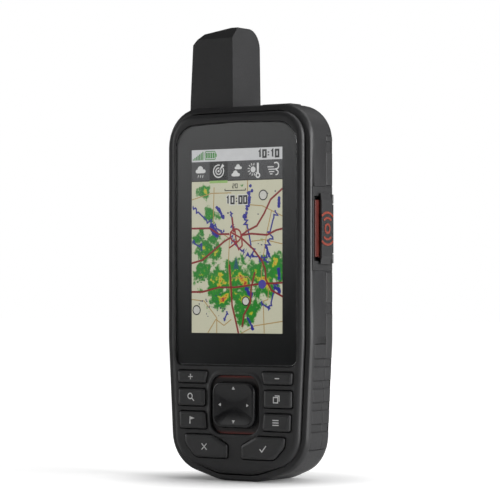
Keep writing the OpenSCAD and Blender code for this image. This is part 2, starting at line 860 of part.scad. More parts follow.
module patch_antenna() {
    size = 12;
    z0 = body_h - 26.6;
    color([0.85, 0.8, 0.7]) block([-10, -4, z0], [-10 + size, -0.8, z0 + size]);
    color(gold) block([-9, -0.8, z0 + 1], [size - 11, -0.6, z0 + size - 1]);
}

// ---- rear ----

module rear_shell() {
    top_front = 2;
    top_mid = 3.5;
    top_back = 6;
    low_back = 1.5;
    mid_inset = back_inset * 0.7;
    y_mid = bevel_y + (back_y - bevel_y) * 8 / 11;
    difference() {
        hull() {
            plate(section(0.9, 0.9, top_front), y_seam, y_seam + thin);
            plate(section(0, 0, 0), y_rim, bevel_y);
            plate(section(mid_inset, 0, top_mid), y_mid - thin, y_mid);
            plate(section(back_inset, low_back, top_back), back_y - thin, back_y);
        }
        hull() {
            plate(outline(wall), y_seam - 1, bevel_y - 1);
            plate(section(back_inset + 0.9, low_back + wall, top_back + 1.4),
                y_inner_back - thin, y_inner_back);
        }
    }
}

module screw_pillars() {
    for (p = case_screws_at) {
        short = p[1] < 10 ? 0.4 : 0;
        rod_y(pillar_d - 2 * short, p[0], p[1], y_skirt + 0.6, y_inner_back + 0.4);
    }
    for (z = spine_screw_at) rod_y(spine_boss_d, 0, z, y_inner_back - 3.1, y_inner_back + 0.1);
}

module grip_slots(sx) {
    d = 1;
    side_strip(-2, grip_t + hair, -4.4, bevel_y + d, 11.7, rail_top + 0.2, sx);
    side_strip(-2, grip_t + hair, -11.5, -4.3, 11.7, rib_top + 0.5, sx);
}

module rear_housing() {
    slot_w = 1.2;
    slot_pitch = 2.6;
    panel_gap = 0.1;
    power_gap = 0.2;
    color(black_plastic) difference() {
        union() {
            rear_shell();
            screw_pillars();
        }
        for (p = case_screws_at) {
            rod_y(screw_d + 0.3, p[0], p[1], y_skirt, y_head + 0.1);
            rod_y(head_d + 0.3, p[0], p[1], y_head, back_y + 1);
        }
        for (z = spine_screw_at) rod_y(spine_screw_d + 0.1, 0, z, y_inner_back - 2.8, back_y + 1);
        difference() {
            grip_slots(1);
            block([20, -20, sos_low - 0.4], [40, 20, sos_top + 0.4]);
        }
        grip_slots(-1);
        block([side_x - panel_t - panel_gap, panel_y0 - panel_gap, sos_low - panel_gap],
            [side_x + 5, panel_y1 + panel_gap, sos_top + panel_gap]);
        block([side_x - 5, stem_y0 - key_gap, sos_z - stem_h / 2 - key_gap],
            [side_x, stem_y1 + key_gap, sos_z + stem_h / 2 + key_gap]);
        translate([0, 0, ant_base_z - 0.2]) linear_extrude(20) polygon(ant_plan(-fit));
        block([power_x - power_l / 2 - power_gap, power_y - power_d / 2 - power_gap, body_h - wall - 2],
            [power_x + power_l / 2 + power_gap, power_y + power_d / 2 + power_gap, body_h + 1]);
        plate(port_pts(-0.35), y_inner_back - 1, back_y + 1);
        rod_y(torch_d + 0.2, 0, torch_z, y_inner_back - 1, back_y + 1);
        for (i = [-2:2]) let (h = 12 - 2 * abs(i))
            plate(round_rect(slot_w, h, slot_w / 2 - 0.05, i * slot_pitch, speaker_z),
                y_inner_back - 1, back_y + 1);
    }
}

module housing_seal() {
    color(black_rubber) difference() {
        plate(outline(seal_in), y_rim + 0.8, y_rim + 2);
        plate(outline(seal_in + seal_t), y_rim, y_rim + 3);
    }
}

// Rubber grip on one side: a rail from shoulder to base and a ribbed pad below
module grip(sx, breaks) {
    notch_h = 3.8;
    notch_at = [rail_top - 3.9, sos_low - 13.2];
    difference() {
        union() {
            side_strip(0, grip_t, -4.3, bevel_y, 11.8, rail_top, sx);
            side_strip(0, grip_t, -11.4, -4.2, 11.8, rib_top + 0.4, sx);
        }
        for (i = [0:rib_count - 2]) let (z1 = rib_top - rib_h - i * rib_pitch)
            side_strip(-1, rib_deep, -12, bevel_y + 1, z1 - (rib_pitch - rib_h), z1, sx);
        for (z = notch_at) side_strip(-1, rib_deep, -5, bevel_y + 1, z - notch_h / 2, z + notch_h / 2, sx);
        if (breaks) block([20, -20, sos_low - 0.5], [40, 20, sos_top + 0.5]);
    }
}
module grip_right() color(black_rubber) grip(1, true);
module grip_left() color(black_rubber) grip(-1, false);

power_y = -4.6;
module power_button() {
    z1 = body_h + power_proud;
    z0 = body_h - wall - 1.6;
    lip = 0.8;
    color(black_rubber) {
        block([power_x - power_l / 2, power_y - power_d / 2, z0],
            [power_x + power_l / 2, power_y + power_d / 2, z1]);
        block([power_x - power_l / 2 - lip, power_y - power_d / 2 - lip, z0],
            [power_x + power_l / 2 + lip, power_y + power_d / 2 + lip, z0 + 1]);
    }
}

// ---- distress button ----

module hinge_lug(z0, z1) {
    difference() {
        union() {
            translate([hinge_x, hinge_y, z0]) cylinder(h = z1 - z0, r = hinge_r, $fn = 24);
            block([side_x - 0.2, hinge_y - hinge_r, z0], [hinge_x, hinge_y + hinge_r, z1]);
        }
        translate([hinge_x, hinge_y, z0 - 1]) cylinder(h = z1 - z0 + 2, d = pin_d + 2 * pin_gap, $fn = 24);
    }
}

module sos_frame() {
    bar = 3.3;
    color(black_plastic) {
        difference() {
            block([side_x - panel_t, panel_y0, sos_low], [side_x, panel_y1, sos_top]);
            block([side_x - panel_t - 1, panel_y0 + 1, sos_low + bar],
                [side_x + 1, window_y1, sos_top - bar]);
        }
        hinge_lug(sos_low + lug_in, sos_low + lug_in + lug_l);
        hinge_lug(sos_top - lug_in - lug_l, sos_top - lug_in);
    }
}

module sos_cover() {
    z0 = sos_z - cover_h / 2;
    z1 = sos_z + cover_h / 2;
    slope = 2.6;
    k0 = sos_low + lug_in + lug_l + 0.3;
    k1 = sos_top - lug_in - lug_l - 0.3;
    color(black_plastic) {
        plate([
            [cover_x - cover_t, z0], [cover_x - 0.5, z0], [cover_x, z0 + slope],
            [cover_x, z1 - slope], [cover_x - 0.5, z1], [cover_x - cover_t, z1],
        ], cover_y0, cover_y1);
        difference() {
            union() {
                translate([hinge_x, hinge_y, k0]) cylinder(h = k1 - k0, r = hinge_r, $fn = 24);
                block([cover_x - cover_t, cover_y1 - 0.2, k0], [cover_x, hinge_y, k1]);
            }
            translate([hinge_x, hinge_y, k0 - 1])
                cylinder(h = k1 - k0 + 2, d = pin_d + 2 * pin_gap, $fn = 24);
        }
    }
}

// Raised emblem: a ring with a pair of waves above and below
module wave(r, t) {
    rotate_extrude(angle = 80) translate([r, 0]) square([0.8, t]);
}
module sos_emblem() {
    t = 0.25;
    y = (cover_y0 + cover_y1) / 2 + 0.2;
    color(red_plastic) translate([cover_x, y, sos_z]) rotate([0, 90, 0]) {
        difference() {
            cylinder(h = t, r = 1.9);
            translate([0, 0, -1]) cylinder(h = t + 2, r = 1.1);
        }
        for (side = [0, 180]) for (r = [3.3, 5.2])
            rotate([0, 0, side - 40]) wave(r, t);
    }
}

module sos_pin() {
    color(steel) translate([hinge_x, hinge_y, sos_low + lug_in + 0.2])
        cylinder(h = sos_h - 2 * lug_in - 0.4, d = pin_d, $fn = 24);
}

module sos_button() {
    top = 0.2;
    head_t = 0.9;
    lip = 0.8;
    color(red_plastic) {
        block([side_x + top - head_t, button_y0, sos_z - head_z / 2],
            [side_x + top, button_y1, sos_z + head_z / 2]);
        block([side_x - stem_in, stem_y0, sos_z - stem_h / 2],
            [side_x + top - head_t + 0.1, stem_y1, sos_z + stem_h / 2]);
        block([side_x - stem_in, stem_y0 - lip, sos_z - stem_h / 2 - lip],
            [side_x - stem_in + 0.6, stem_y1 + lip, sos_z + stem_h / 2 + lip]);
    }
}

// ---- data port cap ----

module usb_cap() {
    nose = 0.9;
    nose_d = 0.55;
    k = 1.9;
    color(black_rubber) {
        plate(round_rect(cap_w, cap_h, 1.6, 0, port_z), cap_y, cap_y + cap_t);
        plate(port_pts(nose_d), cap_y - nose, cap_y + 0.1);
        difference() {
            union() {
                translate([cap_hinge_x, cap_hinge_y, port_z - k]) cylinder(h = 2 * k, r = cap_barrel_r, $fn = 24);
                block([cap_w / 2 - 1, cap_y + 0.4, port_z - k], [cap_hinge_x, cap_y + cap_t, port_z + k]);
            }
            translate([cap_hinge_x, cap_hinge_y, port_z - k - 1])
                cylinder(h = 2 * k + 2, d = pin_d + 2 * pin_gap, $fn = 24);
        }
    }
}

// Pin with two feet that stand on the back plane
module usb_cap_pin() {
    k = 2.3;
    foot = 1.4;
    color(steel) {
        translate([cap_hinge_x, cap_hinge_y, port_z - k - foot + 0.2])
            cylinder(h = 2 * (k + foot) - 0.4, d = pin_d, $fn = 24);
        for (s = [-1, 1]) translate([cap_hinge_x, 0, port_z + s * (k + foot / 2)])
            block([-cap_barrel_r, back_y, -foot / 2], [cap_barrel_r, cap_hinge_y + 0.7, foot / 2]);
    }
}

// ---- back ----

module mounting_spine() {
    y0 = back_y;
    y1 = back_y + spine_t;
    yh = y1 - spine_head;
    edge = 0.8;
    stop_h = 4;
    a = spine_neck / 2;
    b = spine_w / 2;
    color(black_plastic) difference() {
        union() {
            translate([0, 0, spine_z]) linear_extrude(spine_l) polygon([
                [-a, y0], [a, y0], [a, yh], [b, yh], [b, y1 - edge], [b - edge, y1],
                [-b + edge, y1], [-b, y1 - edge], [-b, yh], [-a, yh],
            ]);
            block([-b, y0, spine_z + spine_l - stop_h], [b, yh + 0.1, spine_z + spine_l]);
        }
        for (z = spine_screw_at) {
            rod_y(spine_screw_d + 0.3, 0, z, y0 - 1, y1 + 1);
            rod_y(4.8, 0, z, y0 + 2.4, y1 + 1);
        }
    }
}

module spine_screw(z) {
    head_y = back_y + 2.4;
    rod_y(spine_screw_d, 0, z, y_inner_back - 2.6, head_y + 0.1);
    difference() {
        rod_y(4.4, 0, z, head_y, head_y + 1.8);
        rod_y(2.2, 0, z, head_y + 0.8, head_y + 3);
    }
}
module spine_screws() {
    color(steel) for (z = spine_screw_at) spine_screw(z);
}

module case_screw(x, z) {
    rod_y(screw_d, x, z, y_plate + 1.1, y_head + 0.1);
    difference() {
        rod_y(head_d, x, z, y_head, y_head + head_t);
        translate([x, y_head + 0.6, z]) rotate([-90, 0, 0]) cylinder(h = 2, d = 1.7, $fn = 6);
    }
}
module case_screws() {
    color(steel) for (p = case_screws_at) case_screw(p[0], p[1]);
}

front_housing();
display_lens();
lens_mask();
lens_gasket();
lcd_module();
lcd_bracket();
lcd_flex();
keypad_mat();
key_zoom_in();
key_zoom_out();
key_find();
key_page();
key_mark();
key_menu();
key_quit();
key_enter();
rocker_ring();
rocker_carrier();
rocker_cap();
dome_switches();
main_board();
shield_cans();
battery_pack();
battery_lead();
speaker();
rear_housing();
housing_seal();
grip_right();
grip_left();
antenna_cover();
helix_antenna();
antenna_coax();
patch_antenna();
power_button();
power_switch();
sos_frame();
sos_cover();
sos_emblem();
sos_pin();
sos_button();
sos_switch();
usb_connector();
usb_cap();
usb_cap_pin();
rear_board();
torch_lens();
torch_led();
mounting_spine();
spine_screws();
case_screws();
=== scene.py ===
"""Looks of a handheld satellite navigator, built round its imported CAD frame.

The front faces -Y, the distress button is on +X and the antenna points to +Z. Sizes below are
in millimetres and are turned into metres when a mesh is made.
"""

import json
import math
import random

import bmesh
import bpy
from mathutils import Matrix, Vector


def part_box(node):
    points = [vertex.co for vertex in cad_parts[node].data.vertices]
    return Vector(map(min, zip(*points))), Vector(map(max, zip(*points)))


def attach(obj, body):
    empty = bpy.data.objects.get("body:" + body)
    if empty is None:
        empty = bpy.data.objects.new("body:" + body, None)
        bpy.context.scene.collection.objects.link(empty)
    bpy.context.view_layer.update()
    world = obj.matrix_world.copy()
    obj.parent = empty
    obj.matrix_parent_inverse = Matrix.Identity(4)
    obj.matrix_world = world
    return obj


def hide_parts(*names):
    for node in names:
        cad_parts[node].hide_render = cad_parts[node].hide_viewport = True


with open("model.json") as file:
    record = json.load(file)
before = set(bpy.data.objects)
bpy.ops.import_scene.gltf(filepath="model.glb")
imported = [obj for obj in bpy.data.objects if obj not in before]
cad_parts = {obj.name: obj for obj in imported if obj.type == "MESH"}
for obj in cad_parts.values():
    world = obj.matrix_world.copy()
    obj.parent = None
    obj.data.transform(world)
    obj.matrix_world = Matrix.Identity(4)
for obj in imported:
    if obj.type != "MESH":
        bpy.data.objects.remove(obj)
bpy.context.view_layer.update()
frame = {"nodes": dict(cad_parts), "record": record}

MM = 0.001
scene = bpy.context.scene


# ---------------------------------------------------------------- sizes from the frame

def box_mm(node):
    lo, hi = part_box(node)
    return lo / MM, hi / MM


rear_lo, rear_hi = box_mm("rear_housing")
front_lo, front_hi = box_mm("front_housing")
lens_lo, lens_hi = box_mm("display_lens")
lcd_lo, lcd_hi = box_mm("lcd_module")
rocker_lo, rocker_hi = box_mm("rocker_cap")
ant_lo, ant_hi = box_mm("antenna_cover")
key_lo, key_hi = box_mm("key_enter")
panel_lo, panel_hi = box_mm("sos_frame")
power_lo, power_hi = box_mm("power_button")
grip_lo, grip_hi = box_mm("grip_left")
port_lo, port_hi = box_mm("usb_connector")
torch_lo, torch_hi = box_mm("torch_lens")
speaker_lo, speaker_hi = box_mm("speaker")

HALF_W = rear_hi.x
BODY_H = rear_hi.z
SEAM_Y = rear_lo.y
BACK_Y = rear_hi.y
LIP_H = 0.3
FACE_Y = front_lo.y + LIP_H
PLATE_T = 2.2
PLATE_Y = FACE_Y + PLATE_T
POCKET_Y = lcd_lo.y + 0.05
RIM_Y = SEAM_Y + 1.3
BEVEL_Y = grip_hi.y
WALL = 2.2
KEY_TOP = key_lo.y
SCREEN_W = 39.2
SCREEN_H = 65.3
SCREEN_Z = (lcd_lo.z + lcd_hi.z) / 2 + 0.35
ROCKER_Z = (rocker_lo.z + rocker_hi.z) / 2

# body outline
BASE_LAND = 16
BASE_SLOPE = math.radians(15.9)
TAPER_Z = 50
TAPER_LOW = 6
TAPER_IN = 2.27
LOW_R = 14
TOP_R = 12.5
SIDE_R = 60
LAND_R = 16
STEPS = 10


# ---------------------------------------------------------------- outlines in the X-Z plane

def unit(v):
    return v / v.length


def normal_of(a, b):
    v = b - a
    return Vector((v.y, -v.x)) / v.length


def inset(points, d):
    """Moves every edge of an anticlockwise outline inwards by d."""
    out = []
    n = len(points)
    for i, p in enumerate(points):
        n1 = normal_of(points[i - 1], p)
        n2 = normal_of(p, points[(i + 1) % n])
        out.append(p - d * (n1 + n2) / (1 + n1.dot(n2)))
    return out


def corner(a, b, c, r, steps):
    """Arc of radius r that replaces corner b between a and c."""
    u = unit(a - b)
    v = unit(c - b)
    h = math.acos(max(-1, min(1, u.dot(v)))) / 2
    middle = b + unit(u + v) * r / math.sin(h)
    e0 = b + u * r / math.tan(h) - middle
    e1 = b + v * r / math.tan(h) - middle
    s = math.atan2(e0.y, e0.x)
    turn = (math.atan2(e1.y, e1.x) - s + math.pi) % (2 * math.pi) - math.pi
    return [
        middle + r * Vector((math.cos(s + turn * k / steps), math.sin(s + turn * k / steps)))
        for k in range(steps + 1)
    ]


def rounded(points, radii, steps=STEPS):
    pts = [Vector(p) for p in points]
    n = len(pts)
    out = []
    for i in range(n):
        out += corner(pts[i - 1], pts[i], pts[(i + 1) % n], radii[i], steps)
    return out


def mirrored(points):
    return [(-p[0], p[1]) for p in reversed(points)]


LEAN = TAPER_IN / (TAPER_Z - TAPER_LOW)
CORNER_X = (HALF_W - LEAN * (TAPER_Z + BASE_LAND / 2 * math.tan(BASE_SLOPE))) / (
    1 - LEAN * math.tan(BASE_SLOPE)
)
CORNER_Z = (CORNER_X - BASE_LAND / 2) * math.tan(BASE_SLOPE)
RADII = [LAND_R, LOW_R, SIDE_R, TOP_R]


def body_outline(d):
    """The body's outline drawn in evenly by d."""
    right = [(BASE_LAND / 2, 0), (CORNER_X, CORNER_Z), (HALF_W, TAPER_Z), (HALF_W, BODY_H)]
    pts = inset([Vector(p) for p in right + mirrored(right)], d)
    radii = [max(r - d, 0.6) for r in RADII + RADII[::-1]]
    return rounded(pts, radii)


def body_section(side, low, top):
    """The body's outline drawn in by different amounts at the sides, base and top."""
    right = [
        (BASE_LAND / 2, low),
        (CORNER_X - side, CORNER_Z + low),
        (HALF_W - side, TAPER_Z),
        (HALF_W - side, BODY_H - top),
    ]
    radii = [r if r == SIDE_R else max(r - 0.35 * side, 2) for r in RADII]
    return rounded(right + mirrored(right), radii + radii[::-1])


LENS_W = lens_hi.x - lens_lo.x
LENS_RISE = 0.8
LENS_RADII = [3, 8.5, 40, 8.5, 3]


def lens_outline(d):
    w = LENS_W / 2
    pts = [
        (w, lens_lo.z),
        (w, lens_hi.z - LENS_RISE),
        (0, lens_hi.z),
        (-w, lens_hi.z - LENS_RISE),
        (-w, lens_lo.z),
    ]
    pts = inset([Vector(p) for p in pts], d)
    return rounded(pts, [max(r - d, 0.4) for r in LENS_RADII])


def rect(w, h, x=0, z=0):
    corners = [(-1, -1), (1, -1), (1, 1), (-1, 1)]
    return [Vector((x + i * w / 2, z + j * h / 2)) for i, j in corners]


def round_rect(w, h, r, x=0, z=0, steps=6):
    return rounded(rect(w, h, x, z), [r] * 4, steps)


def disc(d, x, z):
    return round_rect(d, d, d / 2 - 0.01, x, z, 8)


# key outlines on the right-hand side
KEY_FLANGE = 0.7
KEY_IN = 12.7
KEY_OUT = 24.3
KEY_H = 6
KEY_ROW_Z = 18.3
KEY_PITCH = 8.15
ZOOM_H = 4.25
ZOOM_Z = KEY_ROW_Z + 2 * KEY_PITCH
ZOOM_SLANT = 1.1
WIDE_IN = key_lo.x + KEY_FLANGE
WIDE_W = 18.4
WIDE_H = 8
WIDE_Z = key_lo.z + KEY_FLANGE
WIDE_SWEEP = 4.6
WIDE_CUT = 3.4
WIDE_MID = 6.4
KEY_R = 0.8
KEY_GAP = 0.25
ROW_LEAN = 0.7
ROW_SPLAY = 0.4


def key_outline(points, radii):
    """Returns a function that gives the outline drawn in by d."""
    base = [Vector(p) for p in points]

    def at(d):
        return rounded(inset(base, d), [max(r - d * 0.6, 0.35) for r in radii], 5)

    return at


def row_key(row):
    z = KEY_ROW_Z + row * KEY_PITCH
    top = z + KEY_H
    lean = ROW_LEAN * (1 - row)
    splay = ROW_SPLAY * (1 - row)
    pts = [(KEY_IN - lean, z), (KEY_OUT - lean, z), (KEY_OUT - splay, top), (KEY_IN, top)]
    return key_outline(pts, [KEY_R] * 4)


zoom_key = key_outline(
    [
        (KEY_IN - 0.1, ZOOM_Z),
        (KEY_OUT, ZOOM_Z),
        (KEY_OUT + 0.35, ZOOM_Z + ZOOM_H),
        (KEY_IN - 0.1 - ZOOM_SLANT, ZOOM_Z + ZOOM_H),
    ],
    [KEY_R] * 4,
)
WIDE_OUT = WIDE_IN + WIDE_W
wide_key = key_outline(
    [
        (WIDE_IN, WIDE_Z),
        (WIDE_OUT - WIDE_SWEEP, WIDE_Z),
        (WIDE_OUT - 0.3, WIDE_Z + WIDE_SWEEP),
        (WIDE_OUT, WIDE_Z + WIDE_H),
        (WIDE_IN + WIDE_MID, WIDE_Z + WIDE_H),
        (WIDE_IN, WIDE_Z + WIDE_H - WIDE_CUT),
    ],
    [KEY_R, 4, 3, KEY_R, 2, KEY_R],
)
KEY_SHAPES = {
    "zoom": zoom_key,
    "upper": row_key(1),
    "lower": row_key(0),
    "wide": wide_key,
}

RECESS_W = 20.8
RECESS_R = 4.6
RECESS_Y = FACE_Y + 1.3
ROCKER_W = rocker_hi.x - rocker_lo.x
ROCKER_H = rocker_hi.z - rocker_lo.z


def recess_outline(d):
    return round_rect(RECESS_W - 2 * d, RECESS_W - 2 * d, max(RECESS_R - d, 0.6), 0, ROCKER_Z, 8)


def rocker_outline(d):
    r = max(RECESS_R - 1 - d * 0.55, 0.5)
    return round_rect(ROCKER_W - 2 * d, ROCKER_H - 2 * d, r, 0, ROCKER_Z, 8)


def to_left(points):
    return [Vector((-p.x, p.y)) for p in reversed(points)]


# ---------------------------------------------------------------- mesh helpers

def ring_verts(bm, points, y):
    return [bm.verts.new((p.x * MM, y * MM, p.y * MM)) for p in points]


def bridge(bm, a, b):
    n = len(a)
    for i in range(n):
        bm.faces.new((a[i], a[(i + 1) % n], b[(i + 1) % n], b[i]))


def close(bm, loops):
    """Fills the first loop, leaving the others open as holes."""
    if len(loops) == 1:
        bm.faces.new(loops[0])
        return
    edges = [bm.edges.get((loop[i - 1], loop[i])) for loop in loops for i in range(len(loop))]
    bmesh.ops.triangle_fill(bm, edges=edges, use_beauty=True, normal=(0, 1, 0))


def stack(bm, layers):
    """Bridges a list of (outline, y) layers and returns the first and last ring."""
    rings = [ring_verts(bm, pts, y) for pts, y in layers]
    for a, b in zip(rings, rings[1:]):
        bridge(bm, a, b)
    return rings[0], rings[-1]


def slab(bm, outer, holes=()):
    """Closed plate from a stack of outer layers and stacks for its holes, front to back."""
    ends = [stack(bm, layers) for layers in [outer, *holes]]
    close(bm, [e[0] for e in ends])
    close(bm, [e[1] for e in ends])


def eased(outline, d, y, r, way=1, steps=4):
    """Layers that round a front edge: way is 1 on an outer edge and -1 on a hole."""
    out = []
    for k in range(steps + 1):
        t = math.pi / 2 * (1 - k / steps)
        out.append((outline(d + way * r * (1 - math.cos(t))), y + r * (1 - math.sin(t))))
    return out


def finish_mesh(bm, name, sharp=38):
    bmesh.ops.recalc_face_normals(bm, faces=bm.faces)
    mesh = bpy.data.meshes.new(name)
    bm.to_mesh(mesh)
    bm.free()
    return shade(link(name, mesh), sharp)


def link(name, mesh):
    obj = bpy.data.objects.new(name, mesh)
    scene.collection.objects.link(obj)
    return obj


def shade(obj, sharp):
    """Smooth faces with sharp edges beyond an angle."""
    obj.data.shade_smooth()
    obj.data.set_sharp_from_angle(angle=math.radians(sharp))
    mod = obj.modifiers.new("normals", "WEIGHTED_NORMAL")
    mod.keep_sharp = True
    return obj


def piece(obj, body, material, nodes=()):
    """Gives a piece its material and body, and hides the CAD nodes it stands for."""
    obj.data.materials.clear()
    obj.data.materials.append(material)
    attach(obj, body)
    if nodes:
        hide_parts(*nodes)
    return obj


def baked(obj):
    """Applies all modifiers of obj to its mesh."""
    depsgraph = bpy.context.evaluated_depsgraph_get()
    mesh = bpy.data.meshes.new_from_object(obj.evaluated_get(depsgraph))
    obj.modifiers.clear()
    old = obj.data
    obj.data = mesh
    bpy.data.meshes.remove(old)
    return obj


def cut(obj, cutters):
    """Cuts the cutters out of obj, one after the other."""
    for tool in cutters:
        mod = obj.modifiers.new("cut", "BOOLEAN")
        mod.operation = "DIFFERENCE"
        mod.solver = "EXACT"
        mod.object = tool
    baked(obj)
    for tool in cutters:
        bpy.data.objects.remove(tool)
    return obj


# ---------------------------------------------------------------- materials

class Nodes:
    """Small helper that adds and links shader nodes."""

    def __init__(self, name):
        self.material = bpy.data.materials.new(name)
        self.material.use_nodes = True
        self.tree = self.material.node_tree
        self.tree.nodes.clear()
        self.out = self.add("ShaderNodeOutputMaterial")
        self.shader = self.add("ShaderNodeBsdfPrincipled")
        self.link(self.shader, "BSDF", self.out, "Surface")

    def add(self, kind, **settings):
        node = self.tree.nodes.new(kind)
        for key, value in settings.items():
            setattr(node, key, value)
        return node

    def link(self, a, output, b, target):
        self.tree.links.new(a.outputs[output], b.inputs[target])

    def put(self, node, **values):
        for key, value in values.items():
            node.inputs[key.replace("_", " ")].default_value = value
        return node

    def coords(self, stretch=(1, 1, 1)):
        """Object coordinates, centred on the middle of the body."""
        where = self.add("ShaderNodeTexCoord")
        shift = self.add("ShaderNodeMapping")
        shift.inputs["Location"].default_value = (0, 0, -BODY_H / 2 * MM * stretch[2])
        shift.inputs["Scale"].default_value = stretch
        self.link(where, "Object", shift, "Vector")
        return shift

    def noise(self, place, scale, detail=3, rough=0.55):
        node = self.add("ShaderNodeTexNoise")
        self.put(node, Scale=scale, Detail=detail, Roughness=rough)
        self.link(place, "Vector", node, "Vector")
        return node

    def mapped(self, node, output, source, target, smooth=False):
        """Maps a value from the source range onto the target range."""
        kind = "SMOOTHSTEP" if smooth else "LINEAR"
        out = self.add("ShaderNodeMapRange", interpolation_type=kind)
        self.link(node, output, out, "Value")
        for label, value in zip(("From Min", "From Max", "To Min", "To Max"), (*source, *target)):
            out.inputs[label].default_value = value
        return out

    def ramp(self, node, stops, output="Fac"):
        out = self.add("ShaderNodeValToRGB")
        items = out.color_ramp.elements
        while len(items) < len(stops):
            items.new(0.5)
        for item, (place, color) in zip(items, stops):
            item.position = place
            item.color = (*color, 1)
        self.link(node, output, out, "Fac")
        return out

    def mottle(self, noise, color, spread, target="Base Color"):
        """Drives a colour socket with an uneven tone of one colour."""
        low, high = (tuple(c * share for c in color) for share in (1 - spread, 1 + spread))
        self.link(self.ramp(noise, [(0.3, low), (0.7, high)]), "Color", self.shader, target)

    def gloss(self, noise, low, high):
        """Drives the roughness with a noise, from low to high."""
        self.link(self.mapped(noise, "Fac", (0.3, 0.7), (low, high)), "Result", self.shader, "Roughness")

    def bump(self, noise, depth):
        out = self.add("ShaderNodeBump")
        self.put(out, Strength=1.0, Distance=depth)
        self.link(noise, "Fac", out, "Height")
        self.link(out, "Normal", self.shader, "Normal")


def moulded(name, color, rough, grain=1500, depth=0.00002, vary=0.1, rough_vary=0.06):
    """Moulded plastic or rubber: fine spark-eroded grain, faint uneven tone and gloss."""
    n = Nodes(name)
    place = n.coords()
    fine = n.noise(place, grain, 3, 0.6)
    n.mottle(n.noise(place, 60, 4), color, vary)
    n.gloss(fine, rough - rough_vary, rough + rough_vary)
    n.bump(fine, depth)
    return n.material


def brushed(name, color, rough):
    """Metal with fine drawn lines that run across the body."""
    n = Nodes(name)
    lines = n.noise(n.coords((1, 1, 40)), 900, 3)
    n.mottle(n.noise(n.coords(), 120, 2), color, 0.12)
    n.gloss(lines, rough - 0.08, rough + 0.12)
    n.put(n.shader, Metallic=1)
    n.bump(lines, 0.000004)
    return n.material


def clear(name, tint, rough):
    """Clear glass or plastic with a trace of uneven polish."""
    n = Nodes(name)
    place = n.coords()
    n.mottle(n.noise(place, 40, 2), tint, 0.02)
    n.gloss(n.noise(place, 700, 2), rough * 0.7, rough * 1.3)
    n.put(n.shader, IOR=1.5, Transmission_Weight=1)
    return n.material


def board(name):
    """Solder mask with copper tracks showing as slightly raised, lighter lines."""
    n = Nodes(name)
    place = n.coords()
    tracks = n.add("ShaderNodeTexBrick", offset=0.5)
    n.put(tracks, Scale=260, Mortar_Size=0.025)
    n.put(tracks, Color1=(0.006, 0.075, 0.04, 1), Color2=(0.008, 0.09, 0.045, 1))
    n.put(tracks, Mortar=(0.02, 0.16, 0.08, 1))
    n.link(place, "Vector", tracks, "Vector")
    n.link(tracks, "Color", n.shader, "Base Color")
    n.gloss(n.noise(place, 500), 0.28, 0.42)
    n.bump(tracks, 0.00003)
    return n.material


GLOW = 0.82


def backlit(n, place):
    """Makes a shader part of the lit picture: black and matt, with the glow of the panel."""
    n.put(n.shader, Emission_Strength=GLOW, Base_Color=(0.01, 0.01, 0.01, 1))
    n.gloss(n.noise(place, 900), 0.45, 0.6)
    return n.material


def lit(name, color, vary=0.05):
    """A patch of the lit picture: backlit dots seen as a fine tone variation."""
    n = Nodes(name)
    place = n.coords()
    n.mottle(n.noise(place, 400, 2), color, vary, "Emission Color")
    return backlit(n, place)


# weather cells on the map: (across, up) as fractions of the picture, reach and weight
CELLS = [
    (0.30, 0.31, 0.25, 0.90),
    (0.52, 0.34, 0.27, 0.95),
    (0.76, 0.36, 0.26, 0.95),
    (0.35, 0.23, 0.16, 0.95),
    (0.60, 0.17, 0.20, 0.95),
    (0.93, 0.42, 0.18, 0.93),
    (0.17, 0.56, 0.21, 0.84),
    (0.13, 0.38, 0.18, 0.80),
    (0.16, 0.93, 0.10, 0.92),
    (0.20, 0.77, 0.11, 0.66),
]


def weather_map(name, bottom, height):
    """Map ground with weather cells: noise lifted near a few centres, split into bands."""
    n = Nodes(name)
    where = n.add("ShaderNodeTexCoord")
    shift = n.add("ShaderNodeMapping")
    shift.inputs["Location"].default_value = (0, 0, -bottom * MM)
    n.link(where, "Object", shift, "Vector")
    flat = n.add("ShaderNodeVectorMath", operation="MULTIPLY")
    flat.inputs[1].default_value = (1, 0, 1)
    n.link(shift, "Vector", flat, 0)
    total, result = None, None
    for across, up, reach, weight in CELLS:
        far = n.add("ShaderNodeVectorMath", operation="DISTANCE")
        far.inputs[1].default_value = ((across - 0.5) * SCREEN_W * MM, 0, up * height * MM)
        n.link(flat, "Vector", far, 0)
        lift = n.mapped(far, "Value", (0, reach * height * MM), (weight, 0), smooth=True)
        if total is None:
            total, result = lift, "Result"
            continue
        most = n.add("ShaderNodeMath", operation="MAXIMUM")
        n.link(total, result, most, 0)
        n.link(lift, "Result", most, 1)
        total, result = most, "Value"
    ragged = n.noise(shift, 260, 6, 0.62)
    blend = n.add("ShaderNodeMath", operation="MULTIPLY_ADD")
    n.link(total, result, blend, 0)
    blend.inputs[1].default_value = 0.42
    n.link(ragged, "Fac", blend, 2)
    bands = n.ramp(
        blend,
        [
            (0.0, (0.66, 0.63, 0.47)),
            (0.675, (0.62, 0.61, 0.45)),
            (0.71, (0.26, 0.42, 0.17)),
            (0.75, (0.01, 0.19, 0.015)),
            (0.875, (0.008, 0.27, 0.012)),
            (0.905, (0.42, 0.45, 0.03)),
            (0.945, (0.62, 0.55, 0.03)),
            (0.975, (0.62, 0.20, 0.02)),
            (1.0, (0.40, 0.03, 0.01)),
        ],
        output="Value",
    )
    n.link(bands, "Color", n.shader, "Emission Color")
    return backlit(n, shift)


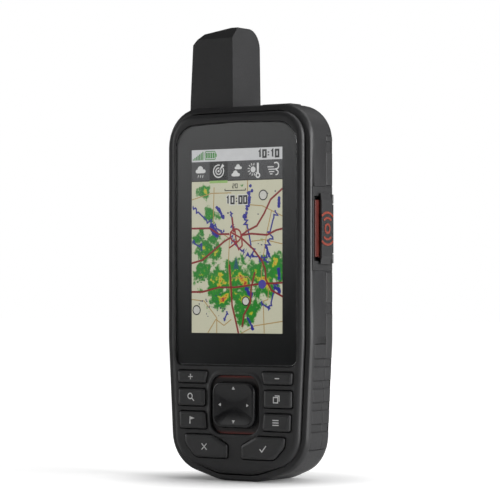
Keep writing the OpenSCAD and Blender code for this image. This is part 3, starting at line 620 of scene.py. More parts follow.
PAINT = {
    "black_housing": moulded("housing plastic", (0.021, 0.021, 0.022), 0.46, 1600, 0.00003),
    "cover_glass": clear("cover glass", (0.93, 0.94, 0.95), 0.012),
    "black_print": moulded("printed border", (0.004, 0.004, 0.0045), 0.35, 900, 0.000002),
    "black_rubber": moulded("black rubber", (0.018, 0.018, 0.019), 0.7, 1100, 0.00002),
    "screen": moulded("panel edge", (0.05, 0.06, 0.065), 0.3, 700, 0.000004),
    "steel": brushed("steel", (0.55, 0.55, 0.56), 0.3),
    "gold_contact": brushed("gold plate", (0.75, 0.55, 0.22), 0.28),
    "key_rubber": moulded("key rubber", (0.031, 0.031, 0.032), 0.42, 1400, 0.00002),
    "red_accent": moulded("red plastic", (0.078, 0.011, 0.007), 0.4, 1300, 0.00002),
    "gloss_black": moulded("gloss plastic", (0.012, 0.012, 0.013), 0.14, 500, 0.000003, 0.1, 0.03),
    "circuit_board": board("circuit board"),
    "battery_wrap": moulded("shrink wrap", (0.03, 0.05, 0.16), 0.3, 300, 0.00004),
    "wire": moulded("wire sleeve", (0.03, 0.03, 0.03), 0.5, 900, 0.00001),
    "speaker_black": moulded("speaker", (0.03, 0.03, 0.03), 0.6, 700, 0.00004),
    "grip_rubber": moulded("grip rubber", (0.019, 0.019, 0.020), 0.55, 1100, 0.00004),
    "ceramic_body": moulded("ceramic", (0.6, 0.56, 0.48), 0.5, 800, 0.00002),
    "emblem_orange": moulded("orange rubber", (0.20, 0.032, 0.017), 0.5, 1100, 0.00002),
    "torch_glass": clear("torch lens", (0.9, 0.93, 0.95), 0.04),
    "led_chip": moulded("phosphor", (0.8, 0.7, 0.3), 0.5, 900, 0.00002),
    # painted shade: near black metal for the steel hinge pins, so they read as the shaded gaps they sit in
    "pin_gap_shade": brushed("pin darkened as painted shade", (0.05, 0.05, 0.05), 0.45),
    "legend": moulded("legend print", (0.75, 0.75, 0.74), 0.5, 1200, 0.000004),
}


# ---------------------------------------------------------------- CAD nodes that stay

def soften(node, width):
    """Rounds the sharp edges of a CAD node with modifiers; its mesh stays as it is."""
    obj = frame["nodes"][node]
    weld = obj.modifiers.new("weld", "WELD")
    weld.merge_threshold = 0.000002
    flat = obj.modifiers.new("flat", "DECIMATE")
    flat.decimate_type = "DISSOLVE"
    flat.angle_limit = math.radians(1)
    bevel = obj.modifiers.new("round", "BEVEL")
    bevel.width = width * MM
    bevel.segments = 3
    bevel.limit_method = "ANGLE"
    bevel.angle_limit = math.radians(32)
    normals = obj.modifiers.new("normals", "WEIGHTED_NORMAL")
    normals.keep_sharp = True


for row in frame["record"]["subparts"]:
    node = frame["nodes"][row["node"]]
    node.data.materials.clear()
    node.data.materials.append(PAINT[row["material_slot"]])

# painted shade: the steel hinge pins take a near black metal so their gaps stay dark
for name in ("sos_pin", "usb_cap_pin"):
    frame["nodes"][name].data.materials[0] = PAINT["pin_gap_shade"]

SOFT_EDGES = {
    "sos_frame": 0.14,
    "sos_cover": 0.28,
    "sos_emblem": 0.07,
    "sos_button": 0.25,
    "power_button": 0.3,
    "usb_cap": 0.25,
    "mounting_spine": 0.4,
    "rocker_ring": 0.06,
    "battery_pack": 0.5,
    "shield_cans": 0.12,
    "speaker": 0.15,
    "torch_lens": 0.2,
    "usb_cap_pin": 0.12,
    "spine_screws": 0.15,
    "case_screws": 0.1,
}
for name, width in SOFT_EDGES.items():
    soften(name, width)


# ---------------------------------------------------------------- front housing

FRONT_IN = 2.6
FRONT_EASE = 2.15
FRONT_DROP = 1.7
LENS_FIT = 0.15
LCD_FIT = 0.6
STEM_HOLE = 10.2
SKIRT_OUT = 2.7
SKIRT_IN = 3.9


def front_shell():
    """Face plate with lens pocket, key wells and the lipped rocker recess."""
    bm = bmesh.new()
    outer = []
    for k in range(11):
        t = math.pi / 2 * (1 - k / 10)
        d = FRONT_IN + FRONT_EASE * (1 - math.cos(t))
        outer.append((body_outline(d), FACE_Y + FRONT_DROP * (1 - math.sin(t))))
    outer.append((body_outline(FRONT_IN), PLATE_Y))
    holes = [eased(lens_outline, -LENS_FIT, FACE_Y, 0.6, -1, 5) + [(lens_outline(-LENS_FIT), PLATE_Y)]]
    for shape in KEY_SHAPES.values():
        side = eased(shape, -KEY_GAP, FACE_Y, 0.3, -1) + [(shape(-KEY_GAP), PLATE_Y)]
        holes.append(side)
        holes.append([(to_left(pts), y) for pts, y in side])
    lip = [(-1.7, 0), (-1.5, 0.04), (-1.2, 0.16), (-0.9, 0.25), (-0.6, 0.3), (-0.35, 0.28), (-0.12, 0.14)]
    crest = [(recess_outline(d), FACE_Y - rise) for d, rise in lip]
    holes.append(crest + [(recess_outline(0), FACE_Y + 0.25), (recess_outline(0), PLATE_Y)])
    slab(bm, outer, holes)
    ledge = [(lens_outline(-LENS_FIT), POCKET_Y), (lens_outline(-LENS_FIT), PLATE_Y)]
    lcd = rect(lcd_hi.x * 2 + LCD_FIT, lcd_hi.z - lcd_lo.z + LCD_FIT, 0, (lcd_lo.z + lcd_hi.z) / 2)
    slab(bm, ledge, [[(lcd, POCKET_Y), (lcd, PLATE_Y)]])
    floor = [(recess_outline(0), RECESS_Y), (recess_outline(0), PLATE_Y)]
    stem = disc(STEM_HOLE, 0, ROCKER_Z)
    slab(bm, floor, [[(stem, RECESS_Y), (stem, PLATE_Y)]])
    skirt_out = [(body_outline(SKIRT_OUT), PLATE_Y), (body_outline(SKIRT_OUT), front_hi.y - 0.3)]
    skirt_in = [(body_outline(SKIRT_IN), PLATE_Y), (body_outline(SKIRT_IN), front_hi.y - 0.3)]
    slab(bm, skirt_out, [skirt_in])
    return finish_mesh(bm, "front_shell")


piece(front_shell(), "housing", PAINT["black_housing"], ["front_housing"])


# ---------------------------------------------------------------- lens

def lens_body():
    bm = bmesh.new()
    front = eased(lens_outline, 0, lens_lo.y, 0.3, 1, 5)
    slab(bm, front + [(lens_outline(0), lens_hi.y)])
    return finish_mesh(bm, "cover_lens")


piece(lens_body(), "housing", PAINT["cover_glass"], ["display_lens"])


# ---------------------------------------------------------------- rear housing

def bend(points, cut_len, steps=6):
    """Rounds the inner points of a path of number lists with short curves."""
    out = [points[0]]
    for a, b, c, reach in zip(points, points[1:], points[2:], cut_len):
        va, vb, vc = Vector(a), Vector(b), Vector(c)
        start = vb + unit(va - vb) * min(reach, (va - vb).length * 0.48)
        end = vb + unit(vc - vb) * min(reach, (vc - vb).length * 0.48)
        for k in range(steps + 1):
            t = k / steps
            out.append(tuple((1 - t) ** 2 * start + 2 * t * (1 - t) * vb + t * t * end))
    out.append(points[-1])
    return out


def rear_layers():
    """Layers from the inside of the back wall, round the front rim, to the back plane."""
    mid_y = BEVEL_Y + (BACK_Y - BEVEL_Y) * 8 / 11
    inside = [
        (BACK_Y - 2, 10.9, 3.7, 7.4),
        (BEVEL_Y - 1, WALL, WALL, WALL),
        (SEAM_Y + 0.2, WALL, WALL, WALL),
    ]
    outside = [
        (SEAM_Y, WALL - 0.05, WALL - 0.05, WALL - 0.05),
        (SEAM_Y, 0.95, 0.95, 2.05),
        (SEAM_Y + 0.15, 0.5, 0.5, 1.75),
        (RIM_Y, 0, 0, 0.05),
        (BEVEL_Y, 0, 0, 0),
        (mid_y, 7, 0, 3.5),
        (BACK_Y, 10, 1.5, 6),
        (BACK_Y, 11.6, 2.8, 7.6),
    ]
    outside = outside[:2] + bend(outside[1:], [0.7, 1.0, 2.2, 1.0, 1.4], 5)[1:]
    return [(body_section(*d), y) for y, *d in inside + outside]


def wall_x(z, d=0):
    """X of the right side wall at height z, drawn in by d."""
    pts = [p for p in body_outline(d) if p.x > 0]
    for a, b in zip(pts, pts[1:]):
        if min(a.y, b.y) <= z <= max(a.y, b.y) and a.y != b.y:
            return a.x + (b.x - a.x) * (z - a.y) / (b.y - a.y)
    return pts[-1].x


def wall_block(name, y0, y1, z0, z1, deep, side):
    """Cutter that follows the side wall between two heights."""
    bm = bmesh.new()
    rows = max(2, int((z1 - z0) / 2))
    heights = [z0 + (z1 - z0) * k / rows for k in range(rows + 1)]
    inner = [Vector((side * wall_x(z, deep), z)) for z in heights]
    outer = [Vector((side * (wall_x(z) + 2), z)) for z in reversed(heights)]
    slab(bm, [(inner + outer, y0), (inner + outer, y1)])
    return finish_mesh(bm, name)


def prism(name, points, y0, y1):
    bm = bmesh.new()
    slab(bm, [(points, y0), (points, y1)])
    return finish_mesh(bm, name)


def upright(name, points, z0, z1):
    """Prism along Z from an outline in the X-Y plane."""
    bm = bmesh.new()
    low = [bm.verts.new((p.x * MM, p.y * MM, z0 * MM)) for p in points]
    high = [bm.verts.new((p.x * MM, p.y * MM, z1 * MM)) for p in points]
    bridge(bm, low, high)
    bm.faces.new(low)
    bm.faces.new(high)
    return finish_mesh(bm, name)


GRIP_T = 0.9
RIB_TOP = 48.3
RIB_H = 4.75
RIB_PITCH = 7.6
RIBS = 5
RIB_DEEP = 0.7
PAD_TOP = RIB_TOP + 0.4
PAD_Y0 = -11.4
RAIL_Y0 = -4.3
RAIL_TOP = grip_hi.z
GRIP_LOW = grip_lo.z
NOTCHES = [117.6, 61.1]
NOTCH_H = 3.8
SOS_LOW = panel_lo.z
SOS_TOP = panel_hi.z
PANEL_Y0 = panel_lo.y
PANEL_Y1 = panel_hi.y
SLOT = 0.12
POWER_FLANGE = 1.6
POWER_FIT = 0.36
TORCH_FLANGE = 1.6
TORCH_FIT = 0.2
VENT_W = 1.2
VENT_PITCH = 2.6
SCREW_D = 3.9
SCREWS = [(-16.5, BODY_H - 10.2), (16.5, BODY_H - 10.2), (-19.5, 44), (19.5, 44), (0, 5.2)]

# the stub of the antenna stands inside the lip of its foot
ANT_LIP = 1.2
ANT_X0 = ant_lo.x + ANT_LIP
ANT_X1 = ant_hi.x - ANT_LIP
ANT_CUT = 6


def antenna_plan(d):
    """The antenna's outline in the X-Y plane, drawn in by d."""
    pts = [
        (ANT_X0, ant_lo.y),
        (ANT_X1, ant_lo.y),
        (ANT_X1, ant_hi.y),
        (ANT_X0 + ANT_CUT, ant_hi.y),
        (ANT_X0, ant_hi.y - ANT_CUT),
    ]
    return rounded(inset([Vector(p) for p in pts], d), [0.8, 0.5, 2, 3, 3], 5)


def grip_gaps():
    """Heights of the gaps between ribs and of the notches, as (low, top)."""
    gaps = [(RIB_TOP - (i + 1) * RIB_PITCH, RIB_TOP - RIB_H - i * RIB_PITCH) for i in range(RIBS - 1)]
    return gaps + [(middle - NOTCH_H / 2, middle + NOTCH_H / 2) for middle in NOTCHES]


def rear_shell():
    """Rear housing with grip slots, distress panel, ports and screw holes cut into it."""
    bm = bmesh.new()
    slab(bm, rear_layers())
    shell = finish_mesh(bm, "rear_shell")
    shell.modifiers.clear()
    tools = []
    for side in (1, -1):
        low = GRIP_LOW - SLOT
        tools.append(wall_block("pad_slot", PAD_Y0 - SLOT, RAIL_Y0 + 0.5, low, PAD_TOP + SLOT, 1, side))
        spans = [(low, RAIL_TOP + SLOT)]
        if side > 0:
            spans = [(low, SOS_LOW - 0.4), (SOS_TOP + 0.4, RAIL_TOP + SLOT)]
        for z0, z1 in spans:
            tools.append(wall_block("rail_slot", RAIL_Y0 - SLOT, BEVEL_Y + 0.6, z0, z1, 1, side))
        for z0, z1 in grip_gaps():
            tools.append(wall_block("gap_slot", BEVEL_Y + 0.3, BEVEL_Y + 4, z0, z1, RIB_DEEP, side))
    panel = rect(6, SOS_TOP - SOS_LOW + 2 * SLOT, HALF_W + 1.5, (SOS_LOW + SOS_TOP) / 2)
    tools.append(prism("panel_slot", panel, PANEL_Y0 - SLOT, PANEL_Y1 + SLOT))
    tools.append(upright("antenna_hole", antenna_plan(-0.06), ant_lo.z - 0.2, BODY_H + 5))
    power = rounded(
        rect(
            power_hi.x - power_lo.x - POWER_FLANGE + POWER_FIT,
            power_hi.y - power_lo.y - POWER_FLANGE + POWER_FIT,
            (power_lo.x + power_hi.x) / 2,
            (power_lo.y + power_hi.y) / 2,
        ),
        [0.5] * 4,
        3,
    )
    tools.append(upright("power_hole", power, BODY_H - WALL - 2, BODY_H + 3))
    port_z = (port_lo.z + port_hi.z) / 2
    port = round_rect(port_hi.x * 2 + 0.7, port_hi.z - port_lo.z + 0.7, 1.9, 0, port_z)
    tools.append(prism("port_hole", port, BACK_Y - 4, BACK_Y + 2))
    torch_z = (torch_lo.z + torch_hi.z) / 2
    torch = disc(torch_hi.x * 2 - TORCH_FLANGE + TORCH_FIT, 0, torch_z)
    tools.append(prism("torch_hole", torch, BACK_Y - 4, BACK_Y + 2))
    vent_z = (speaker_lo.z + speaker_hi.z) / 2
    for i in range(-2, 3):
        length = 12 - 2 * abs(i)
        slot = round_rect(VENT_W, length, VENT_W / 2 - 0.02, i * VENT_PITCH, vent_z)
        tools.append(prism("speaker_slot", slot, BACK_Y - 4, BACK_Y + 2))
    for x, z in SCREWS:
        tools.append(prism("screw_well", disc(SCREW_D, x, z), 4, BACK_Y + 3))
    cut(shell, tools)
    return shade(shell, 30)


piece(rear_shell(), "housing", PAINT["black_housing"], ["rear_housing"])


# ---------------------------------------------------------------- side grips

def step(x, edge, soft):
    """0 below the edge and 1 above it, eased over soft."""
    t = max(0, min(1, (x - edge) / soft + 0.5))
    return t * t * (3 - 2 * t)


def grip_relief(z):
    """How far the grip's face is sunk at height z, from the gaps between ribs and notches."""
    sunk = 0
    soft = 0.3
    for low, top in grip_gaps():
        sunk = max(sunk, step(z, low, soft) - step(z, top, soft))
    return sunk * RIB_DEEP


def spaced(a, b, pitch, edge=0.3):
    """Places from a to b, crowded near both ends so that edges can be rounded."""
    n = max(1, round((b - a - 2 * edge) / pitch))
    middle = [a + edge + (b - a - 2 * edge) * k / n for k in range(n + 1)]
    near = [edge * (1 - math.cos(math.pi / 2 * k / 4)) for k in range(4)]
    return [a + e for e in near] + middle + [b - e for e in reversed(near)]


def edge_drop(t, a, b, r=0.3):
    """How far a rounded edge falls away at place t between a and b."""
    near = min(t - a, b - t)
    if near >= r:
        return 0
    return r - math.sqrt(max(0, r * r - (r - near) ** 2))


def grip_patch(bm, y0, y1, z0, z1, side):
    """One rounded strip of grip between two depths and two heights."""
    rows = spaced(z0, z1, 0.25)
    cols = spaced(y0, y1, 0.8)
    front = []
    for z in rows:
        drop_z = edge_drop(z, z0, z1)
        line = []
        for y in cols:
            drop = min(0.45, drop_z + edge_drop(y, y0, y1))
            x = wall_x(z) - drop - grip_relief(z) * (1 if z < PAD_TOP or y > RAIL_Y0 else 0)
            line.append(bm.verts.new((side * x * MM, y * MM, z * MM)))
        front.append(line)
    back = [
        [bm.verts.new((side * (wall_x(z) - GRIP_T) * MM, y * MM, z * MM)) for y in (y0, y1)]
        for z in rows
    ]
    for i in range(len(rows) - 1):
        for j in range(len(cols) - 1):
            bm.faces.new((front[i][j], front[i][j + 1], front[i + 1][j + 1], front[i + 1][j]))
        bm.faces.new((back[i][0], back[i][1], back[i + 1][1], back[i + 1][0]))
        bm.faces.new((front[i][0], front[i + 1][0], back[i + 1][0], back[i][0]))
        bm.faces.new((front[i][-1], front[i + 1][-1], back[i + 1][1], back[i][1]))
    bm.faces.new(front[0] + [back[0][1], back[0][0]])
    bm.faces.new(front[-1] + [back[-1][1], back[-1][0]])


def grip(name, side, spans):
    bm = bmesh.new()
    grip_patch(bm, PAD_Y0, RAIL_Y0, GRIP_LOW, PAD_TOP, side)
    for z0, z1 in spans:
        grip_patch(bm, RAIL_Y0, BEVEL_Y, z0, z1, side)
    return finish_mesh(bm, name, 60)


for hand, side, rail in (
    ("right", 1, [(GRIP_LOW, SOS_LOW - 0.5), (SOS_TOP + 0.5, RAIL_TOP)]),
    ("left", -1, [(GRIP_LOW, RAIL_TOP)]),
):
    obj = grip("side_grip_" + hand, side, rail)
    piece(obj, "housing", PAINT["grip_rubber"], ["grip_" + hand])


# ---------------------------------------------------------------- antenna cover

ANT_TOP = ant_hi.z
ANT_SLOPE = 2.4
ANT_BEVEL = 3.6
LEAN_OUT = 1.7
LEAN_IN = 0.6
LEAN_BACK = 1.4
BROW_IN = 0.3
BROW_DROP = 4.4
BROW_DEEP = 4
CROWN_R = 7
CROWN_FACETS = 9


def keep_below(bm, point, normal):
    """Cuts away what lies beyond a plane and closes the cut."""
    every = bm.verts[:] + bm.edges[:] + bm.faces[:]
    made = bmesh.ops.bisect_plane(
        bm, geom=every, plane_co=Vector(point) * MM, plane_no=normal, clear_outer=True
    )
    edges = [e for e in made["geom_cut"] if isinstance(e, bmesh.types.BMEdge)]
    if edges:
        bmesh.ops.edgenet_fill(bm, edges=edges)


def antenna():
    bm = bmesh.new()
    plan = antenna_plan(0)
    low = [bm.verts.new((p.x * MM, p.y * MM, ant_lo.z * MM)) for p in plan]
    high = [bm.verts.new((p.x * MM, p.y * MM, (ANT_TOP + 4) * MM)) for p in plan]
    bridge(bm, low, high)
    bm.faces.new(low)
    bm.faces.new(high)
    y0 = ant_lo.y
    y1 = ant_hi.y
    tall = ANT_TOP - ant_lo.z
    ridge_x = ANT_X0 + LEAN_OUT + ANT_BEVEL
    top_run = (ANT_X1 - LEAN_IN) - ridge_x
    keep_below(bm, (ANT_X0, 0, ant_lo.z), (-tall, 0, LEAN_OUT))
    keep_below(bm, (ANT_X1, 0, ant_lo.z), (tall, 0, LEAN_IN))
    keep_below(bm, (ANT_X1 - LEAN_IN, 0, ANT_TOP), (-ANT_SLOPE, 0, top_run))
    keep_below(bm, (ridge_x, 0, ANT_TOP - ANT_SLOPE), (-1, 0, 1))
    keep_below(bm, (0, y0 + BROW_IN, ANT_TOP - BROW_DROP), (0, -1, 0.01))
    keep_below(bm, (0, y0 + BROW_DEEP, ANT_TOP), (0, -BROW_DROP, BROW_DEEP - BROW_IN))
    keep_below(bm, (0, y1, ant_lo.z), (0, tall, LEAN_BACK))
    mid_y = y1 - LEAN_BACK - CROWN_R
    mid_z = ANT_TOP - 0.5 - CROWN_R
    for k in range(CROWN_FACETS + 1):
        a = math.radians(90 * (1 - k / CROWN_FACETS))
        way = (0, math.cos(a), math.sin(a))
        keep_below(bm, (0, mid_y + CROWN_R * way[1], mid_z + CROWN_R * way[2]), way)
    obj = finish_mesh(bm, "antenna_shell", 60)
    obj.modifiers.clear()
    bevel = obj.modifiers.new("round", "BEVEL")
    bevel.width = 0.9 * MM
    bevel.segments = 5
    bevel.limit_method = "ANGLE"
    bevel.angle_limit = math.radians(16)
    baked(obj)
    return shade(obj, 60)


piece(antenna(), "housing", PAINT["black_housing"], ["antenna_cover"])


# ---------------------------------------------------------------- keys

KEY_PROFILE = [(1.25, 0), (1.0, 0.015), (0.82, 0.06), (0.3, 0.3), (0.14, 0.4), (0.04, 0.52), (0, 0.7)]


def key(name, shape, node, body, left):
    """Key cap with a flat plateau inside a broad soft bevel, and its flange behind the face."""
    bm = bmesh.new()
    layers = [(shape(d), KEY_TOP + drop) for d, drop in KEY_PROFILE]
    layers += [(shape(0), FACE_Y + 2.5), (shape(-0.7), FACE_Y + 2.5), (shape(-0.7), key_hi.y)]
    if left:
        layers = [(to_left(pts), y) for pts, y in layers]
    slab(bm, layers)
    return piece(finish_mesh(bm, name, 50), body, PAINT["key_rubber"], [node])


KEYS = [
    ("zoom_in", "zoom", True),
    ("zoom_out", "zoom", False),
    ("find", "upper", True),
    ("page", "upper", False),
    ("mark", "lower", True),
    ("menu", "lower", False),
    ("quit", "wide", True),
    ("enter", "wide", False),
]
for name, shape, left in KEYS:
    key("cap_" + name, KEY_SHAPES[shape], "key_" + name, name + "_key", left)


# ---------------------------------------------------------------- flat marks

def ribbon(path, width, closed=False):
    """Outline of a stroke of even width along a path."""
    pts = [Vector(p) for p in path]
    n = len(pts)
    left, right = [], []
    for i, p in enumerate(pts):
        before = pts[i - 1] if i or closed else None
        after = pts[(i + 1) % n] if i < n - 1 or closed else None
        n1 = normal_of(before, p) if before is not None else None
        n2 = normal_of(p, after) if after is not None else None
        if n1 is None:
            away = n2
        elif n2 is None:
            away = n1
        else:
            away = (n1 + n2) / max(0.35, 1 + n1.dot(n2))
        left.append(p + away * width / 2)
        right.append(p - away * width / 2)
    return left, right


def add_stroke(bm, path, width, y0, y1, closed=False):
    """Thin raised stroke."""
    left, right = ribbon(path, width, closed)
    n = len(left)
    l0, l1, r0, r1 = (ring_verts(bm, line, y) for line in (left, right) for y in (y0, y1))
    for i in range(n if closed else n - 1):
        j = (i + 1) % n
        bm.faces.new((l0[i], l0[j], r0[j], r0[i]))
        bm.faces.new((l1[i], r1[i], r1[j], l1[j]))
        bm.faces.new((l0[i], l1[i], l1[j], l0[j]))
        bm.faces.new((r0[i], r0[j], r1[j], r1[i]))
    if not closed:
        bm.faces.new((l0[0], r0[0], r1[0], l1[0]))
        bm.faces.new((l0[-1], l1[-1], r1[-1], r0[-1]))


def add_patch(bm, points, y0, y1, lift=lambda p: 0):
    """Thin raised filled shape; lift gives the ground's extra depth at a point."""
    pts = [Vector(p) for p in points]
    front, back = (
        [bm.verts.new((p.x * MM, (y + lift(p)) * MM, p.y * MM)) for p in pts] for y in (y0, y1)
    )
    bridge(bm, front, back)
    bm.faces.new(front)
    bm.faces.new(back)


def circle(x, z, r, n=20):
    return [(x + r * math.cos(2 * math.pi * k / n), z + r * math.sin(2 * math.pi * k / n)) for k in range(n)]


def arc(x, z, r, a0, a1, n=10):
    angles = [math.radians(a0 + (a1 - a0) * k / n) for k in range(n + 1)]
    return [(x + r * math.cos(a), z + r * math.sin(a)) for a in angles]


# pictograms: strokes as (path, closed) and filled shapes, drawn about their middle
STROKES = {
    "zoom_in": [([(-0.95, 0), (0.95, 0)], False), ([(0, -0.95), (0, 0.95)], False)],
    "zoom_out": [([(-0.95, 0), (0.95, 0)], False)],
    "find": [(circle(-0.35, 0.35, 0.95), True), ([(0.35, -0.35), (1.35, -1.35)], False)],
    "page": [
        ([(-1.3, -1.2), (0.5, -1.2), (0.5, 0.7), (-1.3, 0.7)], True),
        ([(-0.7, 1.25), (1.1, 1.25), (1.1, -0.7)], False),
    ],
    "mark": [([(-0.8, -1.35), (-0.8, 1.3)], False)],
    "menu": [([(-1.3, k * 0.85), (1.3, k * 0.85)], False) for k in (-1, 0, 1)],
    "quit": [([(-1.1, -1.1), (1.1, 1.1)], False), ([(-1.1, 1.1), (1.1, -1.1)], False)],
    "enter": [([(-1.3, -0.1), (-0.4, -1.05), (1.35, 1.1)], False)],
}
FILLS = {"mark": [[(-0.75, 0.05), (1.25, 0.65), (-0.75, 1.3)]]}
MARK_AT = {
    "zoom": (18.6, ZOOM_Z + ZOOM_H / 2),
    "upper": (18.4, KEY_ROW_Z + KEY_PITCH + KEY_H / 2),
    "lower": (18.0, KEY_ROW_Z + KEY_H / 2),
    "wide": (12.6, WIDE_Z + WIDE_H / 2 - 0.2),
}
LEGEND_W = 0.36
LEGEND_H = 0.025


def legend(name, shape, left):
    bm = bmesh.new()
    x, z = MARK_AT[shape]
    x = -x if left else x
    y0 = KEY_TOP - LEGEND_H
    y1 = KEY_TOP + 0.02
    for path, closed in STROKES[name]:
        add_stroke(bm, [(x + a, z + b) for a, b in path], LEGEND_W, y0, y1, closed)
    for shape_pts in FILLS.get(name, []):
        add_patch(bm, [(x + a, z + b) for a, b in shape_pts], y0, y1)
    obj = finish_mesh(bm, "legend_" + name)
    return piece(obj, name + "_key", PAINT["legend"])


for name, shape, left in KEYS:
    legend(name, shape, left)


# ---------------------------------------------------------------- rocker

RIM_TOP = rocker_lo.y
DISH = 0.65
RIM_LAND = 0.9
STEM_R = 2.2
FOOT_R = 0.8
FOOT_AT = 6.8
CAP_PROFILE = [
    (RIM_LAND, 0.0), (0.65, 0.0), (0.42, 0.03), (0.22, 0.12), (0.08, 0.28),
    (0.0, 0.5), (0.0, 1.3), (0.12, 1.45), (0.4, 1.5),
]


def dish_depth(p):
    """Depth of the rocker's dish below its rim at a point on its axes."""
    across = abs(p.x) / (ROCKER_W / 2 - RIM_LAND)
    up = abs(p.y - ROCKER_Z) / (ROCKER_H / 2 - RIM_LAND)
    return dish_at(max(across, up))


def dish_at(t):
    return DISH * (1 - min(t, 1) ** 3)


def dish(bm, edge, rings=14):
    """Closes the cap inside its rim with rings that turn round as they shrink to the middle."""
    last = edge
    middle = Vector((0, 0, ROCKER_Z * MM))
    reach = (ROCKER_W / 2 - RIM_LAND) * MM
    for k in range(1, rings):
        t = 1 - k / rings
        ring = []
        for v in edge:
            away = Vector((v.co.x, 0, v.co.z - middle.z))
            spot = middle + away.lerp(away.normalized() * reach, 1 - t) * t
            ring.append(bm.verts.new((spot.x, (RIM_TOP + dish_at(t)) * MM, spot.z)))
        bridge(bm, ring, last)
        last = ring
    close(bm, [last])


def rocker():
    bm = bmesh.new()
    edge, under_edge = stack(bm, [(rocker_outline(d), RIM_TOP + y) for d, y in CAP_PROFILE])
    dish(bm, edge)
    close(bm, [under_edge])
    under = RIM_TOP + 1.5
    stem = [Vector(p) for p in circle(0, ROCKER_Z, STEM_R, 24)]
    slab(bm, [(stem, under - 0.2), (stem, FACE_Y + 2.9)])
    for k in range(4):
        a = math.pi / 2 * k
        foot_x = FOOT_AT * math.cos(a)
        foot_z = ROCKER_Z + FOOT_AT * math.sin(a)
        pin = [Vector(p) for p in circle(foot_x, foot_z, FOOT_R, 16)]
        slab(bm, [(pin, under - 0.2), (pin, PLATE_Y + 0.8)])
    return finish_mesh(bm, "rocker_pad", 50)


piece(rocker(), "rocker", PAINT["gloss_black"], ["rocker_cap"])


def rocker_arrows():
    bm = bmesh.new()
    reach = 5.9
    size = 0.62
    for k in range(4):
        a = math.pi / 2 * k
        out = Vector((math.cos(a), math.sin(a)))
        aside = Vector((-out.y, out.x))
        middle = Vector((0, ROCKER_Z)) + out * reach
        tip = middle + out * size
        base = middle - out * size * 0.75
        add_patch(
            bm,
            [tip, base + aside * size, base - aside * size],
            RIM_TOP - 0.02,
            RIM_TOP + 0.02,
            dish_depth,
        )
    return finish_mesh(bm, "rocker_arrows")


piece(rocker_arrows(), "rocker", PAINT["legend"])


def accent_ring_painted_shade():
    """Red plastic seen along the outer edge of the recess, with painted shade that darkens it to black
    beside the cap.
    """
    n = Nodes("rocker accent painted shade")
    where = n.add("ShaderNodeTexCoord")
    split = n.add("ShaderNodeSeparateXYZ")
    n.link(where, "Object", split, "Vector")
    up = n.add("ShaderNodeMath", operation="SUBTRACT")
    up.inputs[1].default_value = ROCKER_Z * MM
    n.link(split, "Z", up, 0)
    away = n.add("ShaderNodeMath", operation="ABSOLUTE")
    n.link(up, "Value", away, 0)
    edge = RECESS_W / 2 * MM
    reach = n.mapped(away, "Value", (edge - 1.3 * MM, edge), (0, 1))
    # painted shade: the red turns to black towards the cap, standing in for the shade in the recess
    tone = n.ramp(
        reach,
        [(0.0, (0.008, 0.004, 0.004)), (0.4, (0.07, 0.009, 0.006)), (1.0, (0.22, 0.022, 0.012))],
        output="Result",
    )
    n.link(tone, "Color", n.shader, "Base Color")
    fine = n.noise(n.coords(), 1300, 3, 0.6)
    n.gloss(fine, 0.36, 0.48)
    n.bump(fine, 0.00002)
    return n.material


frame["nodes"]["rocker_ring"].data.materials[0] = accent_ring_painted_shade()


# ---------------------------------------------------------------- picture on the screen

LAYER = 0.014
PICTURE_Y = lcd_lo.y - 0.02
LEFT_X = -SCREEN_W / 2
LOW_Z = SCREEN_Z - SCREEN_H / 2
BAR_H = 4.3
TAB_H = 7.0
MAP_H = SCREEN_H - BAR_H - TAB_H
BAR_Z = LOW_Z + SCREEN_H - BAR_H
TAB_Z = BAR_Z - TAB_H


def layer_y(k):
    return PICTURE_Y - LAYER * k


def on_map(u, v):
    """Point of the map from fractions across and up."""
    return (LEFT_X + u * SCREEN_W, LOW_Z + v * MAP_H)


def picture_piece(name, k, draw, material):
    bm = bmesh.new()
    draw(bm, layer_y(k), layer_y(k) + LAYER * 0.8)
    return piece(finish_mesh(bm, name), "housing", material)


def clipped(path, u0=0, u1=1, v0=0, v1=1):
    return [(min(u1, max(u0, u)), min(v1, max(v0, v))) for u, v in path]


def draw_shape(points):
    """Returns a function that draws one filled shape."""

    def draw(bm, y0, y1):
        add_patch(bm, points, y0, y1)

    return draw


map_field = draw_shape(rect(SCREEN_W, MAP_H, 0, LOW_Z + MAP_H / 2))
picture_piece("map_ground", 0, map_field, weather_map("weather map", LOW_Z, MAP_H))


def wander(a, b, wiggle, seed, n=20):
    """Winding line from a to b; the same seed gives the same bends."""
    rng = random.Random(seed)
    along = Vector(b) - Vector(a)
    aside = Vector((-along.y, along.x)).normalized()
    out = []
    for k in range(n + 1):
        t = k / n
        calm = math.sin(math.pi * min(1, 3 * min(t, 1 - t) + 0.1))
        sway = rng.uniform(-1, 1) * wiggle * 1.25 * calm
        out.append(tuple(Vector(a) + along * t + aside * sway))
    return out


MINOR_ROADS = [
    [(0.62, 1.0), (0.61, 0.72), (0.60, 0.66)],
    [(0.88, 0.80), (0.83, 0.66), (0.78, 0.46), (0.76, 0.30)],
    [(0.0, 0.88), (0.22, 0.92), (0.44, 0.92)],
    [(0.25, 0.96), (0.24, 0.70), (0.42, 0.62), (0.41, 0.46), (0.43, 0.24)],
    [(0.62, 0.84), (0.78, 0.83), (1.0, 0.76)],
    [(0.66, 0.60), (0.80, 0.61), (1.0, 0.58)],
    [(0.28, 0.0), (0.28, 0.10), (0.14, 0.21), (0.0, 0.22)],
    [(0.18, 0.0), (0.27, 0.09), (0.36, 0.05), (0.44, 0.09)],
    [(0.55, 0.0), (0.70, 0.05), (1.0, 0.08)],
    [(0.85, 0.31), (0.84, 0.22), (0.79, 0.21), (0.80, 0.0)],
    [(0.44, 0.36), (0.62, 0.37), (0.68, 0.32)],
]
